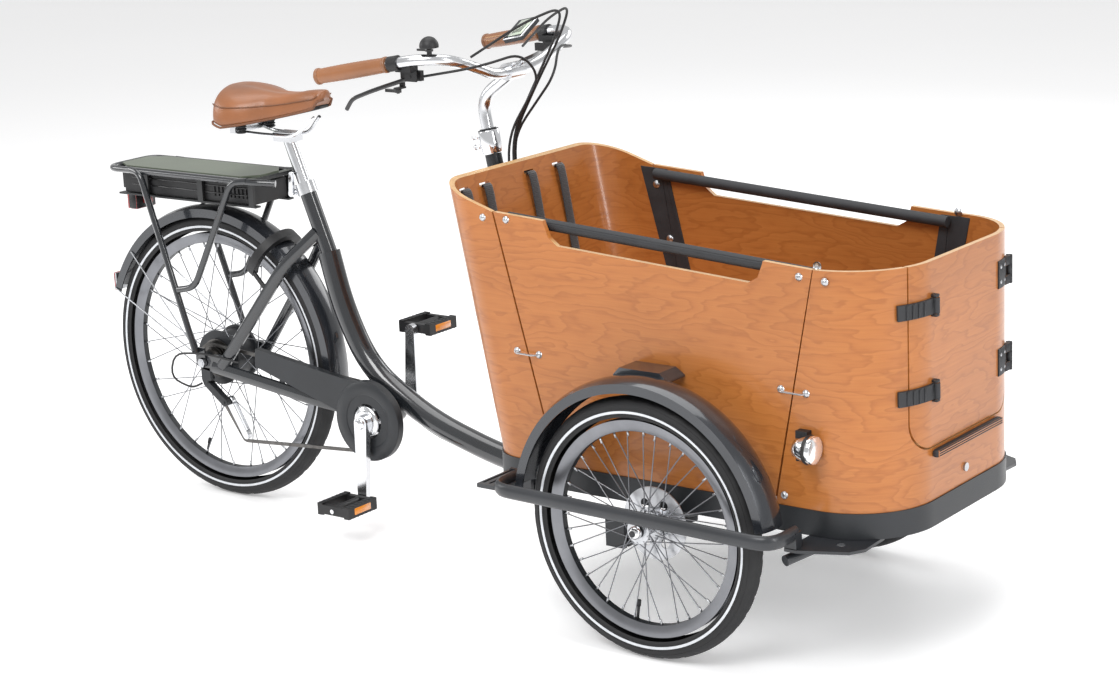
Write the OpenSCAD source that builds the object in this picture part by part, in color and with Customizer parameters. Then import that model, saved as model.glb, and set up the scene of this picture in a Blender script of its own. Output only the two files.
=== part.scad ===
// Three-wheeled front-loading cargo bicycle with electric assist.
// X points forward, Y to the rider's left, Z up. The origin is on the ground, in the middle
// of the length and of the width. All sizes are in millimetres.

/* [Overall] */
// Distance from the rear axle to the front axle
wheel_base = 1400; // [1340:10:1480]
// Distance between the middles of the two front tyres
track = 710; // [690:5:760]
// Radius of the rear wheel over its tyre
rear_wheel_r = 326; // [322:1:330]
// Radius of each front wheel over its tyre
front_wheel_r = 250; // [244:1:254]
// Distance from the front axle back to the crank axle
crank_back = 925; // [905:1:940]
// Height of the crank axle above the ground
crank_height = 252; // [246:1:262]
// Distance from the front axle back to the steering kingpin
kingpin_back = 150; // [130:5:180]

/* [Wheels] */
// Width of a tyre
tyre_w = 46; // [40:1:48]
// Width of a rim
rim_w = 26; // [22:1:28]
// Height of a rim, measured inwards from the bead
rim_h = 22; // [18:1:26]
// Radius of a spoke
spoke_r = 1.1; // [1:0.1:1.3]
// Pairs of spokes on each side of a wheel
spoke_pairs = 9; // [7:1:9]
// Radius of the rear axle
rear_axle_r = 6; // [5:0.5:7]
// Radius of each front stub axle
front_axle_r = 6; // [5:0.5:7]
// Running clearance of a wheel, crank or pedal on its axle
run_gap = 0.06; // [0.03:0.01:0.09]
// Radius of a brake disc
disc_r = 70; // [60:1:80]

/* [Box] */
// Half of the box's outer width
box_half_w = 272; // [255:1:280]
// Thickness of the plywood panels
ply = 10; // [8:0.5:12]
// Height of the panels' lower edge
box_low = 310; // [305:1:320]
// Distance from the front axle to the box's front face
box_front = 466; // [440:2:480]
// Radius of the bent corners of the front panel
front_bend = 150; // [120:5:165]
// Radius of the bent corners of the back panel
back_bend = 80; // [60:5:90]
// Distance from the front axle back to the back panel's foot
box_back_foot = 432; // [420:2:440]
// Lean of the back panel
back_lean = 11; // [8:0.5:12]
// Gap between neighbouring panels
seam = 4; // [3:0.5:6]
// Height of the front panel's upper edge
front_top = 748; // [730:2:760]
// Height of the side panels' upper edge at their rear end
side_top_rear = 792; // [780:2:800]
// Height of the back panel's arch at its middle
back_top = 862; // [850:2:880]
// Depth of the cut-out along each side's upper edge
cutout_depth = 44; // [30:2:60]
// Half of the door's width
door_half_w = 184; // [160:2:190]
// Height of the door's lower edge
door_low = 408; // [400:2:430]
// Clearance around the door
door_gap = 3; // [2:0.5:5]

/* [Frame] */
// Radius of the main tube
main_r = 25; // [22:1:27]
// Radius of the seat tube
seat_tube_r = 18; // [17:0.5:20]
// Radius of the seat post
seat_post_r = 13.6; // [12.5:0.1:14]
// Radius of the crank spindle
spindle_r = 9; // [8:0.5:10]
// Radius of the steering kingpin
kingpin_r = 15; // [12:0.5:18]
// Length of a crank arm
crank_arm = 170; // [160:5:175]
// Outer half-distance between the rear dropouts
dropout_half = 68; // [66:1:72]
// Radius of the rack's tubes
rack_r = 7.5; // [6:0.5:8.5]
// Height of the rack's tubes
rack_height = 750; // [744:1:760]
// Radius of the handlebar
bar_r = 11.1; // [10:0.1:12.7]
// Radius of the grips
grip_r = 16; // [14:0.5:18]
// Wall thickness of a mudguard
guard_wall = 2.5; // [1.5:0.5:3]

/* [Hidden] */
$fn = 64;

// Whole length: the rear reflector is the rearmost point, the door step the foremost
reflector_reach = 328;
step_depth = 14;
rear_reach = wheel_base + reflector_reach;
front_reach = box_front + step_depth;
front_axle_x = (rear_reach - front_reach) / 2;
rear_axle_x = front_axle_x - wheel_base;
crank_x = front_axle_x - crank_back;
kingpin_x = front_axle_x - kingpin_back;

// Colours
anthracite = [0.16, 0.17, 0.18];
graphite = [0.10, 0.11, 0.12];
black = [0.04, 0.04, 0.04];
silver = [0.75, 0.76, 0.78];
wood = [0.76, 0.43, 0.17];
leather_brown = [0.62, 0.33, 0.16];
sage = [0.42, 0.47, 0.38];

// ---- helpers -------------------------------------------------------------------------------

function unit(v) = v / norm(v);
function side_of(d) = abs(d[2]) < 0.9 ? unit(cross([0, 0, 1], d)) : unit(cross([0, 1, 0], d));

// A rod of radius r from point a to point b
module rod(a, b, r) {
    d = unit(b - a);
    x_dir = side_of(d);
    y_dir = cross(d, x_dir);
    multmatrix([[x_dir[0], y_dir[0], d[0], a[0]],
                [x_dir[1], y_dir[1], d[1], a[1]],
                [x_dir[2], y_dir[2], d[2], a[2]],
                [0, 0, 0, 1]]) cylinder(r = r, h = norm(b - a));
}

// Points of a polyline whose corners are rounded with quadratic curves
function corner_cut(p, i, bend) =
    min(bend, norm(p[i] - p[i - 1]) * 0.49, norm(p[i + 1] - p[i]) * 0.49);
function corner(p, i, bend, steps) =
    let (c = corner_cut(p, i, bend),
         a = p[i] + unit(p[i - 1] - p[i]) * c,
         b = p[i] + unit(p[i + 1] - p[i]) * c)
    [for (k = [0 : steps]) let (t = k / steps)
        a * (1 - t) * (1 - t) + p[i] * 2 * t * (1 - t) + b * t * t];
function smooth_path(p, bend, steps) =
    concat([p[0]], [for (i = [1 : len(p) - 2]) each corner(p, i, bend, steps)], [p[len(p) - 1]]);

function tangent_at(p, i) = unit(p[min(i + 1, len(p) - 1)] - p[max(i - 1, 0)]);
// Directions carried along the path without twist
function carry(n, d) = unit(n - d * (n * d));
function normals(p, i, n) = i >= len(p) ? [] :
    let (m = carry(n, tangent_at(p, i))) concat([m], normals(p, i + 1, m));

// A tube along a path. r is one radius, flat is the ratio of its second radius to the first,
// and grow gives the radius at each point where it isn't constant.
module sweep(p, r, sides = 16, flat = 1, up = [0, 0, 1], grow = []) {
    n = normals(p, 0, carry(abs(tangent_at(p, 0) * up) > 0.95 ? [1, 0.1, 0] : up, tangent_at(p, 0)));
    rings = [for (i = [0 : len(p) - 1]) let (d = tangent_at(p, i), u = n[i], v = cross(d, u),
             q = len(grow) > 0 ? grow[i] : r)
             for (k = [0 : sides - 1])
             p[i] + u * q * cos(360 * k / sides) + v * q * flat * sin(360 * k / sides)];
    last = len(p) - 1;
    walls = [for (i = [0 : last - 1]) for (k = [0 : sides - 1]) let (m = (k + 1) % sides)
             each [[i * sides + k, (i + 1) * sides + k, (i + 1) * sides + m],
                   [i * sides + k, (i + 1) * sides + m, i * sides + m]]];
    caps = [[for (k = [0 : sides - 1]) k], [for (k = [sides - 1 : -1 : 0]) last * sides + k]];
    polyhedron(rings, concat(walls, caps));
}
module tube(points, r, bend = 40, steps = 5, sides = 14, flat = 1) {
    sweep(smooth_path(points, bend, steps), r, sides, flat);
}

// The same shape on both sides of the middle plane
module both_sides() {
    children();
    mirror([0, 1, 0]) children();
}
// A box given by its lowest and highest corners
module block(a, b) {
    translate(a) cube(b - a);
}
// A cylinder along Y from y = a to y = b
module across(x, z, a, b, r) {
    translate([x, a, z]) rotate([-90, 0, 0]) cylinder(r = r, h = b - a);
}
// Moves a shape from the wheel's own frame, with its axle along Z, to its place on the part
module on_axle(x, y, z) {
    translate([x, y, z]) rotate([90, 0, 0]) children();
}
// A flat bar with rounded ends between two points of the XY plane
module link(a, b, ra, rb, h) {
    hull() {
        translate([a[0], a[1], 0]) cylinder(r = ra, h = h, $fn = 32);
        translate([b[0], b[1], 0]) cylinder(r = rb, h = h, $fn = 32);
    }
}

// ---- wheels --------------------------------------------------------------------------------

tyre_h = 40;
function bead_r(wheel_r) = wheel_r - tyre_h - 3;

module tyre_shape(wheel_r) {
    mid = wheel_r - tyre_w / 2;
    cavity = tyre_w / 2 - 4;
    rotate_extrude() difference() {
        intersection() {
            translate([mid, 0]) circle(r = tyre_w / 2);
            translate([bead_r(wheel_r), -tyre_w]) square([tyre_h * 2, tyre_w * 2]);
        }
        translate([mid, 0]) circle(r = cavity);
        translate([bead_r(wheel_r) - 5, -rim_w / 2 + 4]) square([tyre_h * 0.5, rim_w - 8]);
    }
}
module rim_shape(wheel_r) {
    outer = bead_r(wheel_r);
    rotate_extrude() polygon([
        [outer, rim_w / 2], [outer - 1, rim_w / 2], [outer - rim_h * 0.45, rim_w / 2 - 0.5],
        [outer - rim_h, rim_w / 2 - 6], [outer - rim_h, -rim_w / 2 + 6],
        [outer - rim_h * 0.45, -rim_w / 2 + 0.5], [outer, -rim_w / 2],
        [outer, -rim_w / 2 + 3], [outer - 6, -rim_w / 2 + 5], [outer - 6, rim_w / 2 - 5],
        [outer, rim_w / 2 - 3]]);
}
spoke_cross = 1.5;
// Crossed spokes from two flanges to the rim's inner face
module spokes(flange_r, flange_a, flange_b, rim_inner) {
    step = 360 / spoke_pairs;
    lead = 1.5 * step;
    for (s = [0, 1]) for (i = [0 : spoke_pairs - 1]) for (turn = [-1, 1]) {
        z = s == 0 ? flange_a : flange_b;
        at_rim = i * step + (turn > 0 ? step / 2 : 0) + s * step / 4;
        at_hub = at_rim - turn * lead;
        rod([(flange_r - 3) * cos(at_hub), (flange_r - 3) * sin(at_hub), z + turn * spoke_cross],
            [(rim_inner + 1) * cos(at_rim), (rim_inner + 1) * sin(at_rim),
                (s == 0 ? -2 : 2) + turn * spoke_cross], spoke_r);
    }
}

rear_hub_half = 58;
rear_flange_r = 62;
module rear_tyre() {
    color(black) on_axle(rear_axle_x, 0, rear_wheel_r) tyre_shape(rear_wheel_r);
}
module rear_rim() {
    color(silver) on_axle(rear_axle_x, 0, rear_wheel_r) {
        rim_shape(rear_wheel_r);
        spokes(rear_flange_r, -41, 23, bead_r(rear_wheel_r) - rim_h);
    }
}
module rear_hub() {
    color(graphite) on_axle(rear_axle_x, 0, rear_wheel_r) difference() {
        union() {
            translate([0, 0, -44]) cylinder(r = rear_flange_r, h = 6);
            translate([0, 0, -38]) cylinder(r = 55, h = 58);
            translate([0, 0, 20]) cylinder(r = rear_flange_r, h = 6);
            translate([0, 0, 26]) cylinder(r = 22, h = rear_hub_half - 26);
            translate([0, 0, -rear_hub_half]) cylinder(r = 20, h = 20);
        }
        translate([0, 0, -rear_hub_half - 1]) cylinder(r = rear_axle_r + run_gap,
            h = 2 * rear_hub_half + 2);
    }
}
sprockets = [44, 40, 36, 32, 28, 24];
sprocket_pitch = 5;
sprocket_z = 28;
chain_sprocket = 3;
module cassette() {
    color([0.35, 0.27, 0.2]) on_axle(rear_axle_x, 0, rear_wheel_r) difference() {
        union() {
            for (i = [0 : len(sprockets) - 1])
                translate([0, 0, sprocket_z + i * sprocket_pitch]) cylinder(r = sprockets[i], h = 1.6);
            translate([0, 0, sprocket_z]) cylinder(r = 23.5, h = 28);
        }
        translate([0, 0, 27]) cylinder(r = 22, h = 30);
    }
}
module rear_axle() {
    color(silver) on_axle(rear_axle_x, 0, rear_wheel_r) {
        translate([0, 0, -dropout_half - 16]) cylinder(r = rear_axle_r, h = 2 * dropout_half + 32);
    }
    for (s = [-1, 1])
        color(silver) translate([rear_axle_x, s * (dropout_half + 10.5), rear_wheel_r])
            rotate([90, 0, 0]) difference() {
                translate([0, 0, -4.5]) cylinder(r = 11, h = 9, $fn = 6);
                translate([0, 0, -6]) cylinder(r = rear_axle_r, h = 12);
            }
}

front_y = track / 2;
front_flange_r = 24;
module front_tyre(s) {
    color(black) on_axle(front_axle_x, s * front_y, front_wheel_r) tyre_shape(front_wheel_r);
}
module front_rim(s) {
    color(silver) translate([front_axle_x, s * front_y, front_wheel_r]) rotate([s * 90, 0, 0]) {
        rim_shape(front_wheel_r);
        spokes(front_flange_r, -22, 22, bead_r(front_wheel_r) - rim_h);
    }
}
// The hub's inner end carries the brake disc
module front_hub(s) {
    color(silver) translate([front_axle_x, s * front_y, front_wheel_r]) rotate([s * 90, 0, 0])
        difference() {
            union() {
                translate([0, 0, -26]) cylinder(r = 15, h = 52);
                translate([0, 0, -24]) cylinder(r = front_flange_r, h = 4);
                translate([0, 0, 20]) cylinder(r = front_flange_r, h = 4);
                translate([0, 0, 24]) cylinder(r = 30, h = 6);
                translate([0, 0, 30]) difference() {
                    cylinder(r = disc_r, h = 2);
                    for (i = [0 : 5]) rotate([0, 0, i * 60]) translate([disc_r * 0.6, 0, -1])
                        cylinder(r = 9, h = 4);
                }
            }
            translate([0, 0, -40]) cylinder(r = front_axle_r + run_gap, h = 90);
        }
}
module front_right_tyre() { front_tyre(-1); }
module front_right_rim() { front_rim(-1); }
module front_right_hub() { front_hub(-1); }
module front_left_tyre() { front_tyre(1); }
module front_left_rim() { front_rim(1); }
module front_left_hub() { front_hub(1); }

// ---- rear frame ----------------------------------------------------------------------------

seat_lean = 21.5;
seat_foot = [front_axle_x - 1063, 0, 592];
seat_dir = [-sin(seat_lean), 0, cos(seat_lean)];
seat_tube_len = 150;
seat_top = seat_foot + seat_dir * seat_tube_len;
kingpin_top = 212;
kingpin_low = 150;
main_end_z = 181;
main_path = [seat_foot + seat_dir * 6, [front_axle_x - 1034, 0, 480], [front_axle_x - 968, 0, 350],
             [front_axle_x - 812, 0, 256], [front_axle_x - 620, 0, 202],
             [front_axle_x - 470, 0, main_end_z], [kingpin_x - kingpin_r - 8, 0, main_end_z]];
shell_half = 36;
shell_r = 23;

module main_frame() {
    color(anthracite) difference() {
        union() {
            sweep(smooth_path(main_path, 90, 6), main_r, 24);
            rod(seat_foot - seat_dir * 20, seat_top, seat_tube_r);
            across(crank_x, crank_height, -shell_half, shell_half, shell_r);
            translate([crank_x - 16, -9, crank_height + 8]) cube([44, 18, 62]);
            translate([kingpin_x, 0, kingpin_low]) cylinder(r = kingpin_r + 10,
                h = kingpin_top - kingpin_low);
        }
        across(crank_x, crank_height, -shell_half - 1, shell_half + 1, spindle_r + run_gap);
        rod(seat_top - seat_dir * 130, seat_top + seat_dir, seat_post_r + 0.05);
        translate([kingpin_x, 0, kingpin_low - 1]) cylinder(r = kingpin_r + run_gap,
            h = kingpin_top - kingpin_low + 2);
    }
}

stay_in = 26;
stay_out = 49;
bridge = [front_axle_x - 1135, 604];
module rear_stays() {
    color(anthracite) both_sides() {
        difference() {
            tube([[front_axle_x - 1084, 13, 640], [front_axle_x - 1150, 50, 572],
                  [rear_axle_x + 52, dropout_half, rear_wheel_r - 6]], 14, 45, 5, 12, 0.75);
            rod(seat_top - seat_dir * 135, seat_top, seat_post_r + 0.5);
        }
        tube([[crank_x - 18, 18, crank_height], [crank_x - 85, stay_in, crank_height + 6],
              [crank_x - 165, stay_out, crank_height + 22],
              [rear_axle_x + 26, dropout_half, rear_wheel_r - 8]], 15, 30, 4, 12, 0.62);
        difference() {
            hull() {
                across(rear_axle_x, rear_wheel_r, dropout_half - 4, dropout_half + 4, 17, $fn = 32);
                across(rear_axle_x + 40, rear_wheel_r, dropout_half - 4, dropout_half + 4, 22, $fn = 32);
            }
            across(rear_axle_x, rear_wheel_r, dropout_half - 6, dropout_half + 6, rear_axle_r);
        }
    }
    color(anthracite) across(bridge[0], bridge[1], -38, 38, 7);
}

rear_guard_r = rear_wheel_r + 12;
// A mudguard: a crowned channel over part of a wheel
module mudguard(inner_r, half_w, from, to) {
    crown = 10;
    rotate([0, 0, from]) rotate_extrude(angle = to - from) difference() {
        union() {
            translate([inner_r - 16, -half_w]) square([16 + guard_wall - 1, 2 * half_w]);
            intersection() {
                translate([inner_r - 60, 0]) circle(r = 60 + crown);
                translate([inner_r - 2, -half_w]) square([40, 2 * half_w]);
            }
        }
        translate([inner_r - 17, -half_w + guard_wall]) square([17, 2 * (half_w - guard_wall)]);
        intersection() {
            translate([inner_r - 60, 0]) circle(r = 60 + crown - guard_wall);
            translate([inner_r - 4, -half_w + guard_wall]) square([40, 2 * (half_w - guard_wall)]);
        }
    }
}
rear_guard_half = 30;
rear_guard_tail = 158;
module rear_mudguard() {
    color(graphite) translate([rear_axle_x, 0, rear_wheel_r]) rotate([90, 0, 0])
        mudguard(rear_guard_r, rear_guard_half, -12, rear_guard_tail);
}
tail_point = [rear_axle_x + (rear_guard_r + 4) * cos(rear_guard_tail - 3), 0,
              rear_wheel_r + (rear_guard_r + 4) * sin(rear_guard_tail - 3)];
module mudguard_stays() {
    color(silver) both_sides() {
        rod([rear_axle_x - 14, dropout_half + 11, rear_wheel_r + 16],
            [tail_point[0] - 3, rear_guard_half + 2.2, tail_point[2] - 14], 1.6);
        rod([rear_axle_x - 14, dropout_half + 11, rear_wheel_r + 24],
            [rear_axle_x - 250, rear_guard_half + 2.2, rear_wheel_r + 222], 1.6);
    }
    color([0.5, 0.05, 0.04]) block([front_axle_x - rear_reach, -20, tail_point[2] - 22],
                                   [tail_point[0] - 9.5, 20, tail_point[2] + 18]);
}

rail_y = 72;
leg_y = 80;
rack_rear_x = front_axle_x - 1659;
rack_front_x = front_axle_x - 1165;
module luggage_rack() {
    color(anthracite) both_sides() {
        sweep(smooth_path([[rack_rear_x, 0, rack_height], [rack_rear_x, rail_y, rack_height],
              [rack_front_x - 46, rail_y, rack_height], [rack_front_x, 46, rack_height - 4]], 70, 6),
                  rack_r, 12);
        // rear leg down to the dropout
        tube([[front_axle_x - 1585, rail_y, rack_height + 1], [front_axle_x - 1548, leg_y,
          rack_height - 2],
              [rear_axle_x - 12, leg_y + 4, rear_wheel_r + 22]], rack_r, 24, 4, 12);
        // front leg, which bends back to the rear leg
        tube([[front_axle_x - 1225, rail_y, rack_height + 1], [front_axle_x - 1265, leg_y,
          rack_height - 2],
              [front_axle_x - 1400, leg_y + 2, 500], [front_axle_x - 1452, leg_y + 3, 490]], rack_r,
                  26, 4, 12);
    }
    // lugs that the axle carries
    color(anthracite) both_sides() difference() {
        block([rear_axle_x - 20, dropout_half + 5, rear_wheel_r - 8], [rear_axle_x + 8,
            dropout_half + 5.9 + 3, rear_wheel_r + 34]);
        across(rear_axle_x, rear_wheel_r, dropout_half + 2, dropout_half + 12, 11.5);
    }
}
plate_top = rack_height + rack_r + 1;
cradle_x = [-1560, -1390, -1235];
cradle_low = 690;
module rack_plate() {
    color(sage) translate([0, 0, plate_top - 4]) linear_extrude(4) polygon([
        [front_axle_x - 1645, -38], [front_axle_x - 1605, -rail_y + 10], [front_axle_x - 1595,
            -rail_y + 10],
        [rack_front_x - 90, -rail_y + 10], [rack_front_x - 60, -30], [rack_front_x - 60, 30],
        [rack_front_x - 90, rail_y - 10], [front_axle_x - 1595, rail_y - 10],
        [front_axle_x - 1605, rail_y - 10], [front_axle_x - 1645, 38]]);
    // crossbars, and the hangers and foot rails of the cradle that holds the battery
    color(graphite) for (x = cradle_x) {
        block([front_axle_x + x, -rail_y + rack_r + 0.5, rack_height - 5],
              [front_axle_x + x + 16, rail_y - rack_r - 0.5, plate_top - 4]);
        both_sides() block([front_axle_x + x, 55, cradle_low], [front_axle_x + x + 16, 61,
            rack_height - 4]);
    }
    color(graphite) both_sides()
        block([front_axle_x - 1640, 44, cradle_low], [front_axle_x - 1215, 61, cradle_low + 4]);
    color(graphite) block([front_axle_x - 1622, -50, cradle_low], [front_axle_x - 1606, 50,
        cradle_low + 4]);
}
battery_low = 695;
module battery() {
    color(black) difference() {
        union() {
            block([front_axle_x - 1628, -52, battery_low], [front_axle_x - 1225, 52, rack_height - 9]);
            block([front_axle_x - 1642, -44, battery_low + 6], [front_axle_x - 1628, 44,
              rack_height - 13]);
        }
        for (s = [-1, 1]) for (i = [0 : 9])
            translate([front_axle_x - 1345 + i * 12, s * 52 - 3, battery_low + 12]) cube([5, 6, 24]);
    }
}
module tail_light() {
    color([0.25, 0.03, 0.03]) block([front_axle_x - 1648, -30, 650], [front_axle_x - 1620, 30, 684]);
    color(black) block([front_axle_x - 1620, -9, 660], [front_axle_x - 1606, 9, 678]);
    color(black) block([front_axle_x - 1620, -9, 678], [front_axle_x - 1608, 9, cradle_low + 1]);
}

lock_angle = 55;
lock_mid_r = 61;
// The plane of the lock's ring: across the tyre and along a radius of the wheel
module lock_frame() {
    c = cos(lock_angle);
    q = sin(lock_angle);
    reach = rear_wheel_r - 26;
    multmatrix([[0, c, q, rear_axle_x + reach * c],
                [1, 0, 0, 0],
                [0, q, -c, rear_wheel_r + reach * q],
                [0, 0, 0, 1]]) children();
}
module ring_lock() {
    // lugs that clamp it to the seat stays
    color(black) both_sides()
        rod([front_axle_x - 1236, 60, 545], [front_axle_x - 1200, 56, 503], 5);
    color(black) lock_frame() difference() {
        translate([0, 0, -10]) cylinder(r = lock_mid_r + 9, h = 20);
        translate([0, 0, -11]) cylinder(r = lock_mid_r - 7, h = 22);
        translate([0, 0, -11]) linear_extrude(22) polygon([[0, 0], [100, -58], [100, -120], [-100,
            -120], [-100, -58]]);
        rotate_extrude() translate([lock_mid_r, 0]) circle(r = 4.9);
    }
}
module lock_shackle() {
    color(silver) lock_frame() rotate([0, 0, -25]) rotate_extrude(angle = 150)
        translate([lock_mid_r, 0]) circle(r = 4.5);
}

guard_y = -52;
guard_round = 88;
function guard_outline(t) = [[crank_x - 30, crank_height + guard_round - 6 - t],
    [crank_x - 318, crank_height + 122 - t], [crank_x - 322, crank_height + 82 + t],
    [crank_x - 84, crank_height + 12 + t]];
module chain_guard() {
    color(graphite) translate([0, guard_y, 0]) rotate([90, 0, 0]) difference() {
        linear_extrude(16) union() {
            translate([crank_x, crank_height]) circle(r = guard_round);
            polygon(guard_outline(0));
        }
        translate([0, 0, -1]) linear_extrude(14) union() {
            translate([crank_x, crank_height]) circle(r = guard_round - 3);
            polygon(guard_outline(3));
        }
        translate([crank_x, crank_height, -1]) cylinder(r = 38, h = 20);
    }
    // bracket to the right chainstay
    color(graphite) block([crank_x - 262, guard_y - 4, crank_height + 28], [crank_x - 250,
        guard_y + 0.4, crank_height + 96]);
}
chain_y = -sprocket_z - chain_sprocket * sprocket_pitch - 0.8;
chain_w = 4.4;
ring_r = 72;
cog_r = sprockets[chain_sprocket] + 0.3;
pulley_r = 11;
ring_at = [crank_x, crank_height];
cog_at = [rear_axle_x, rear_wheel_r];
cage_top = [rear_axle_x + 46, 236];
cage_low = [rear_axle_x + 90, 162];
// Angle at which an outer tangent from one circle to the next leaves it
function touch(c1, r1, c2, r2) = atan2(c2[1] - c1[1], c2[0] - c1[0]) + acos((r1 - r2) / norm(c2 - c1));
touch_top = touch(cog_at, cog_r, ring_at, ring_r);
touch_bottom = touch(ring_at, ring_r, cage_low, pulley_r);
touch_rear = touch(cage_low, pulley_r, cog_at, cog_r);
function arc_points(c, r, a, b, n) = [for (k = [0 : n]) let (t = a + (b - a) * k / n) c + r * [cos(t),
    sin(t)]];
function below(a, limit) = a > limit ? below(a - 360, limit) : a;
function chain_line(g) =
    let (a = below(touch_top, 180), b = below(touch_bottom, a), c = below(touch_rear, b),
        d = below(touch_top, c))
    concat(arc_points(ring_at, ring_r + g, a, b, 24), arc_points(cage_low, pulley_r + g, b, c, 6),
           arc_points(cog_at, cog_r + g, c, d, 14));
module chain() {
    color([0.3, 0.3, 0.3]) translate([0, chain_y + chain_w / 2, 0]) rotate([90, 0,
        0]) linear_extrude(chain_w) difference() {
        polygon(chain_line(7));
        polygon(chain_line(0));
    }
}

// ---- seat, derailleur, crank -----------------------------------------------------------------

collar_h = 26;
module seat_collar() {
    color(silver) difference() {
        union() {
            rod(seat_top - seat_dir * 12, seat_top + seat_dir * (collar_h - 12), seat_tube_r + 4);
            translate(seat_top) rotate([0, -seat_lean, 0]) translate([-38, -9, -6]) cube([20, 18, 14]);
        }
        rod(seat_top - seat_dir * 13, seat_top + seat_dir * 0.02, seat_tube_r + 0.02);
        rod(seat_top - seat_dir, seat_top + seat_dir * collar_h, seat_post_r + 0.05);
        translate(seat_top) rotate([0, -seat_lean, 0]) translate([-40, -1, -30]) cube([28, 2, 60]);
        translate(seat_top) rotate([0, -seat_lean, 0]) translate([-lever_out, -20, 1]) rotate([-90, 0,
            0]) cylinder(r = 3 + run_gap, h = 40);
    }
}
lever_out = 31;
lever_pin = seat_top + [-lever_out * cos(seat_lean) - sin(seat_lean), 0,
    -lever_out * sin(seat_lean) + cos(seat_lean)];
module seat_lever() {
    color(silver) {
        across(lever_pin[0], lever_pin[2], -16, 16, 3);
        across(lever_pin[0], lever_pin[2], -20, -9.4, 7);
        across(lever_pin[0], lever_pin[2], 9.4, 15, 6);
        hull() {
            across(lever_pin[0], lever_pin[2], -20, -13, 6, $fn = 32);
            across(lever_pin[0] + 8, lever_pin[2] + 44, -25, -19, 5, $fn = 32);
        }
    }
}
post_foot = seat_top - seat_dir * 80;
post_head = seat_top + seat_dir * 118;
saddle_base_z = 842;
module seatpost() {
    color(silver) {
        rod(post_foot, post_head, seat_post_r);
        translate([post_head[0] - 26, -20, post_head[2] - 8]) cube([50, 40, 20]);
    }
    color(black) both_sides() tube([[post_head[0] - 118, 42, saddle_base_z + 12], [post_head[0] - 60,
        24, post_head[2] + 6],
        [post_head[0] + 40, 22, post_head[2] + 6], [post_head[0] + 88, 8, saddle_base_z + 48]], 4, 24,
            3, 8);
    color(black) translate([post_head[0] - 122, -52, saddle_base_z + 8]) cube([16, 104, 12]);
}
saddle_rear = front_axle_x - 1334;
saddle_nose = front_axle_x - 1040;
// Half width of the saddle along its length, from the rear (0) to the nose (1)
function saddle_half(t) = 18 + 92 * pow(max(0, sin(180 * min(1, pow(t, 0.55) * 0.92 + 0.08))),
    0.9) * (1 - 0.35 * t);
function saddle_top_z(t) = 950 + 6 * cos(360 * t) - 18 * pow(max(0, 0.25 - t) * 4, 2) - 10 * pow(max(0,
    t - 0.8) * 5, 2);
function saddle_low_z(t) = 868 + 56 * pow(t, 1.6) + 26 * pow(max(0, 0.2 - t) * 5, 2);
saddle_steps = 14;
module saddle() {
    color(leather_brown) {
        rings = [for (i = [0 : saddle_steps]) let (t = i / saddle_steps,
            x = saddle_rear + (saddle_nose - saddle_rear) * t,
                 w = (i == 0 || i == saddle_steps ? 0.55 : 1) * saddle_half(t),
                     mid = (saddle_top_z(t) + saddle_low_z(t)) / 2,
                 h = (i == 0 || i == saddle_steps ? 0.45 : 1) * (saddle_top_z(t) - saddle_low_z(t)) / 2)
                 for (k = [0 : 15]) let (a = 360 * k / 16)
                 [x, w * cos(a), mid + h * sin(a)]];
        walls = [for (i = [0 : saddle_steps - 1]) for (k = [0 : 15]) let (m = (k + 1) % 16)
                 each [[i * 16 + k, (i + 1) * 16 + k, (i + 1) * 16 + m], [i * 16 + k, (i + 1) * 16 + m,
                     i * 16 + m]]];
        polyhedron(rings, concat(walls, [[for (k = [0 : 15]) k],
            [for (k = [15 : -1 : 0]) saddle_steps * 16 + k]]));
    }
}

cage_y = chain_y;
module derailleur() {
    color(silver) {
        block([rear_axle_x - 12, -dropout_half - 4, 284], [rear_axle_x + 16, -dropout_half + 4,
            rear_wheel_r - 12.5]);
        across(rear_axle_x - 2, 284, -dropout_half - 4, -dropout_half + 18, 9);
    }
    color(graphite) hull() {
        across(rear_axle_x - 2, 276, -dropout_half - 2, -dropout_half + 14, 8, $fn = 32);
        across(cage_top[0], cage_top[1], cage_y - 22, cage_y - 9, 9, $fn = 32);
    }
    color(silver) across(cage_top[0], cage_top[1], cage_y - 24, cage_y + 9, 3);
}
module derailleur_cage() {
    color(silver) translate([0, cage_y, 0]) rotate([90, 0, 0]) {
        for (z = [-7, 5]) translate([0, 0, z]) difference() {
            link(cage_top, cage_low, 9, 8, 2);
            translate([cage_top[0], cage_top[1], -1]) cylinder(r = 3 + run_gap, h = 4);
        }
        translate([cage_low[0], cage_low[1], -7]) cylinder(r = 3, h = 14);
        translate([cage_top[0], cage_top[1], -5]) difference() {
            cylinder(r = pulley_r - 1, h = 10);
            translate([0, 0, -1]) cylinder(r = 3 + run_gap, h = 12);
        }
        translate([cage_low[0], cage_low[1], -5]) cylinder(r = pulley_r - 1, h = 10);
    }
}

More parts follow.
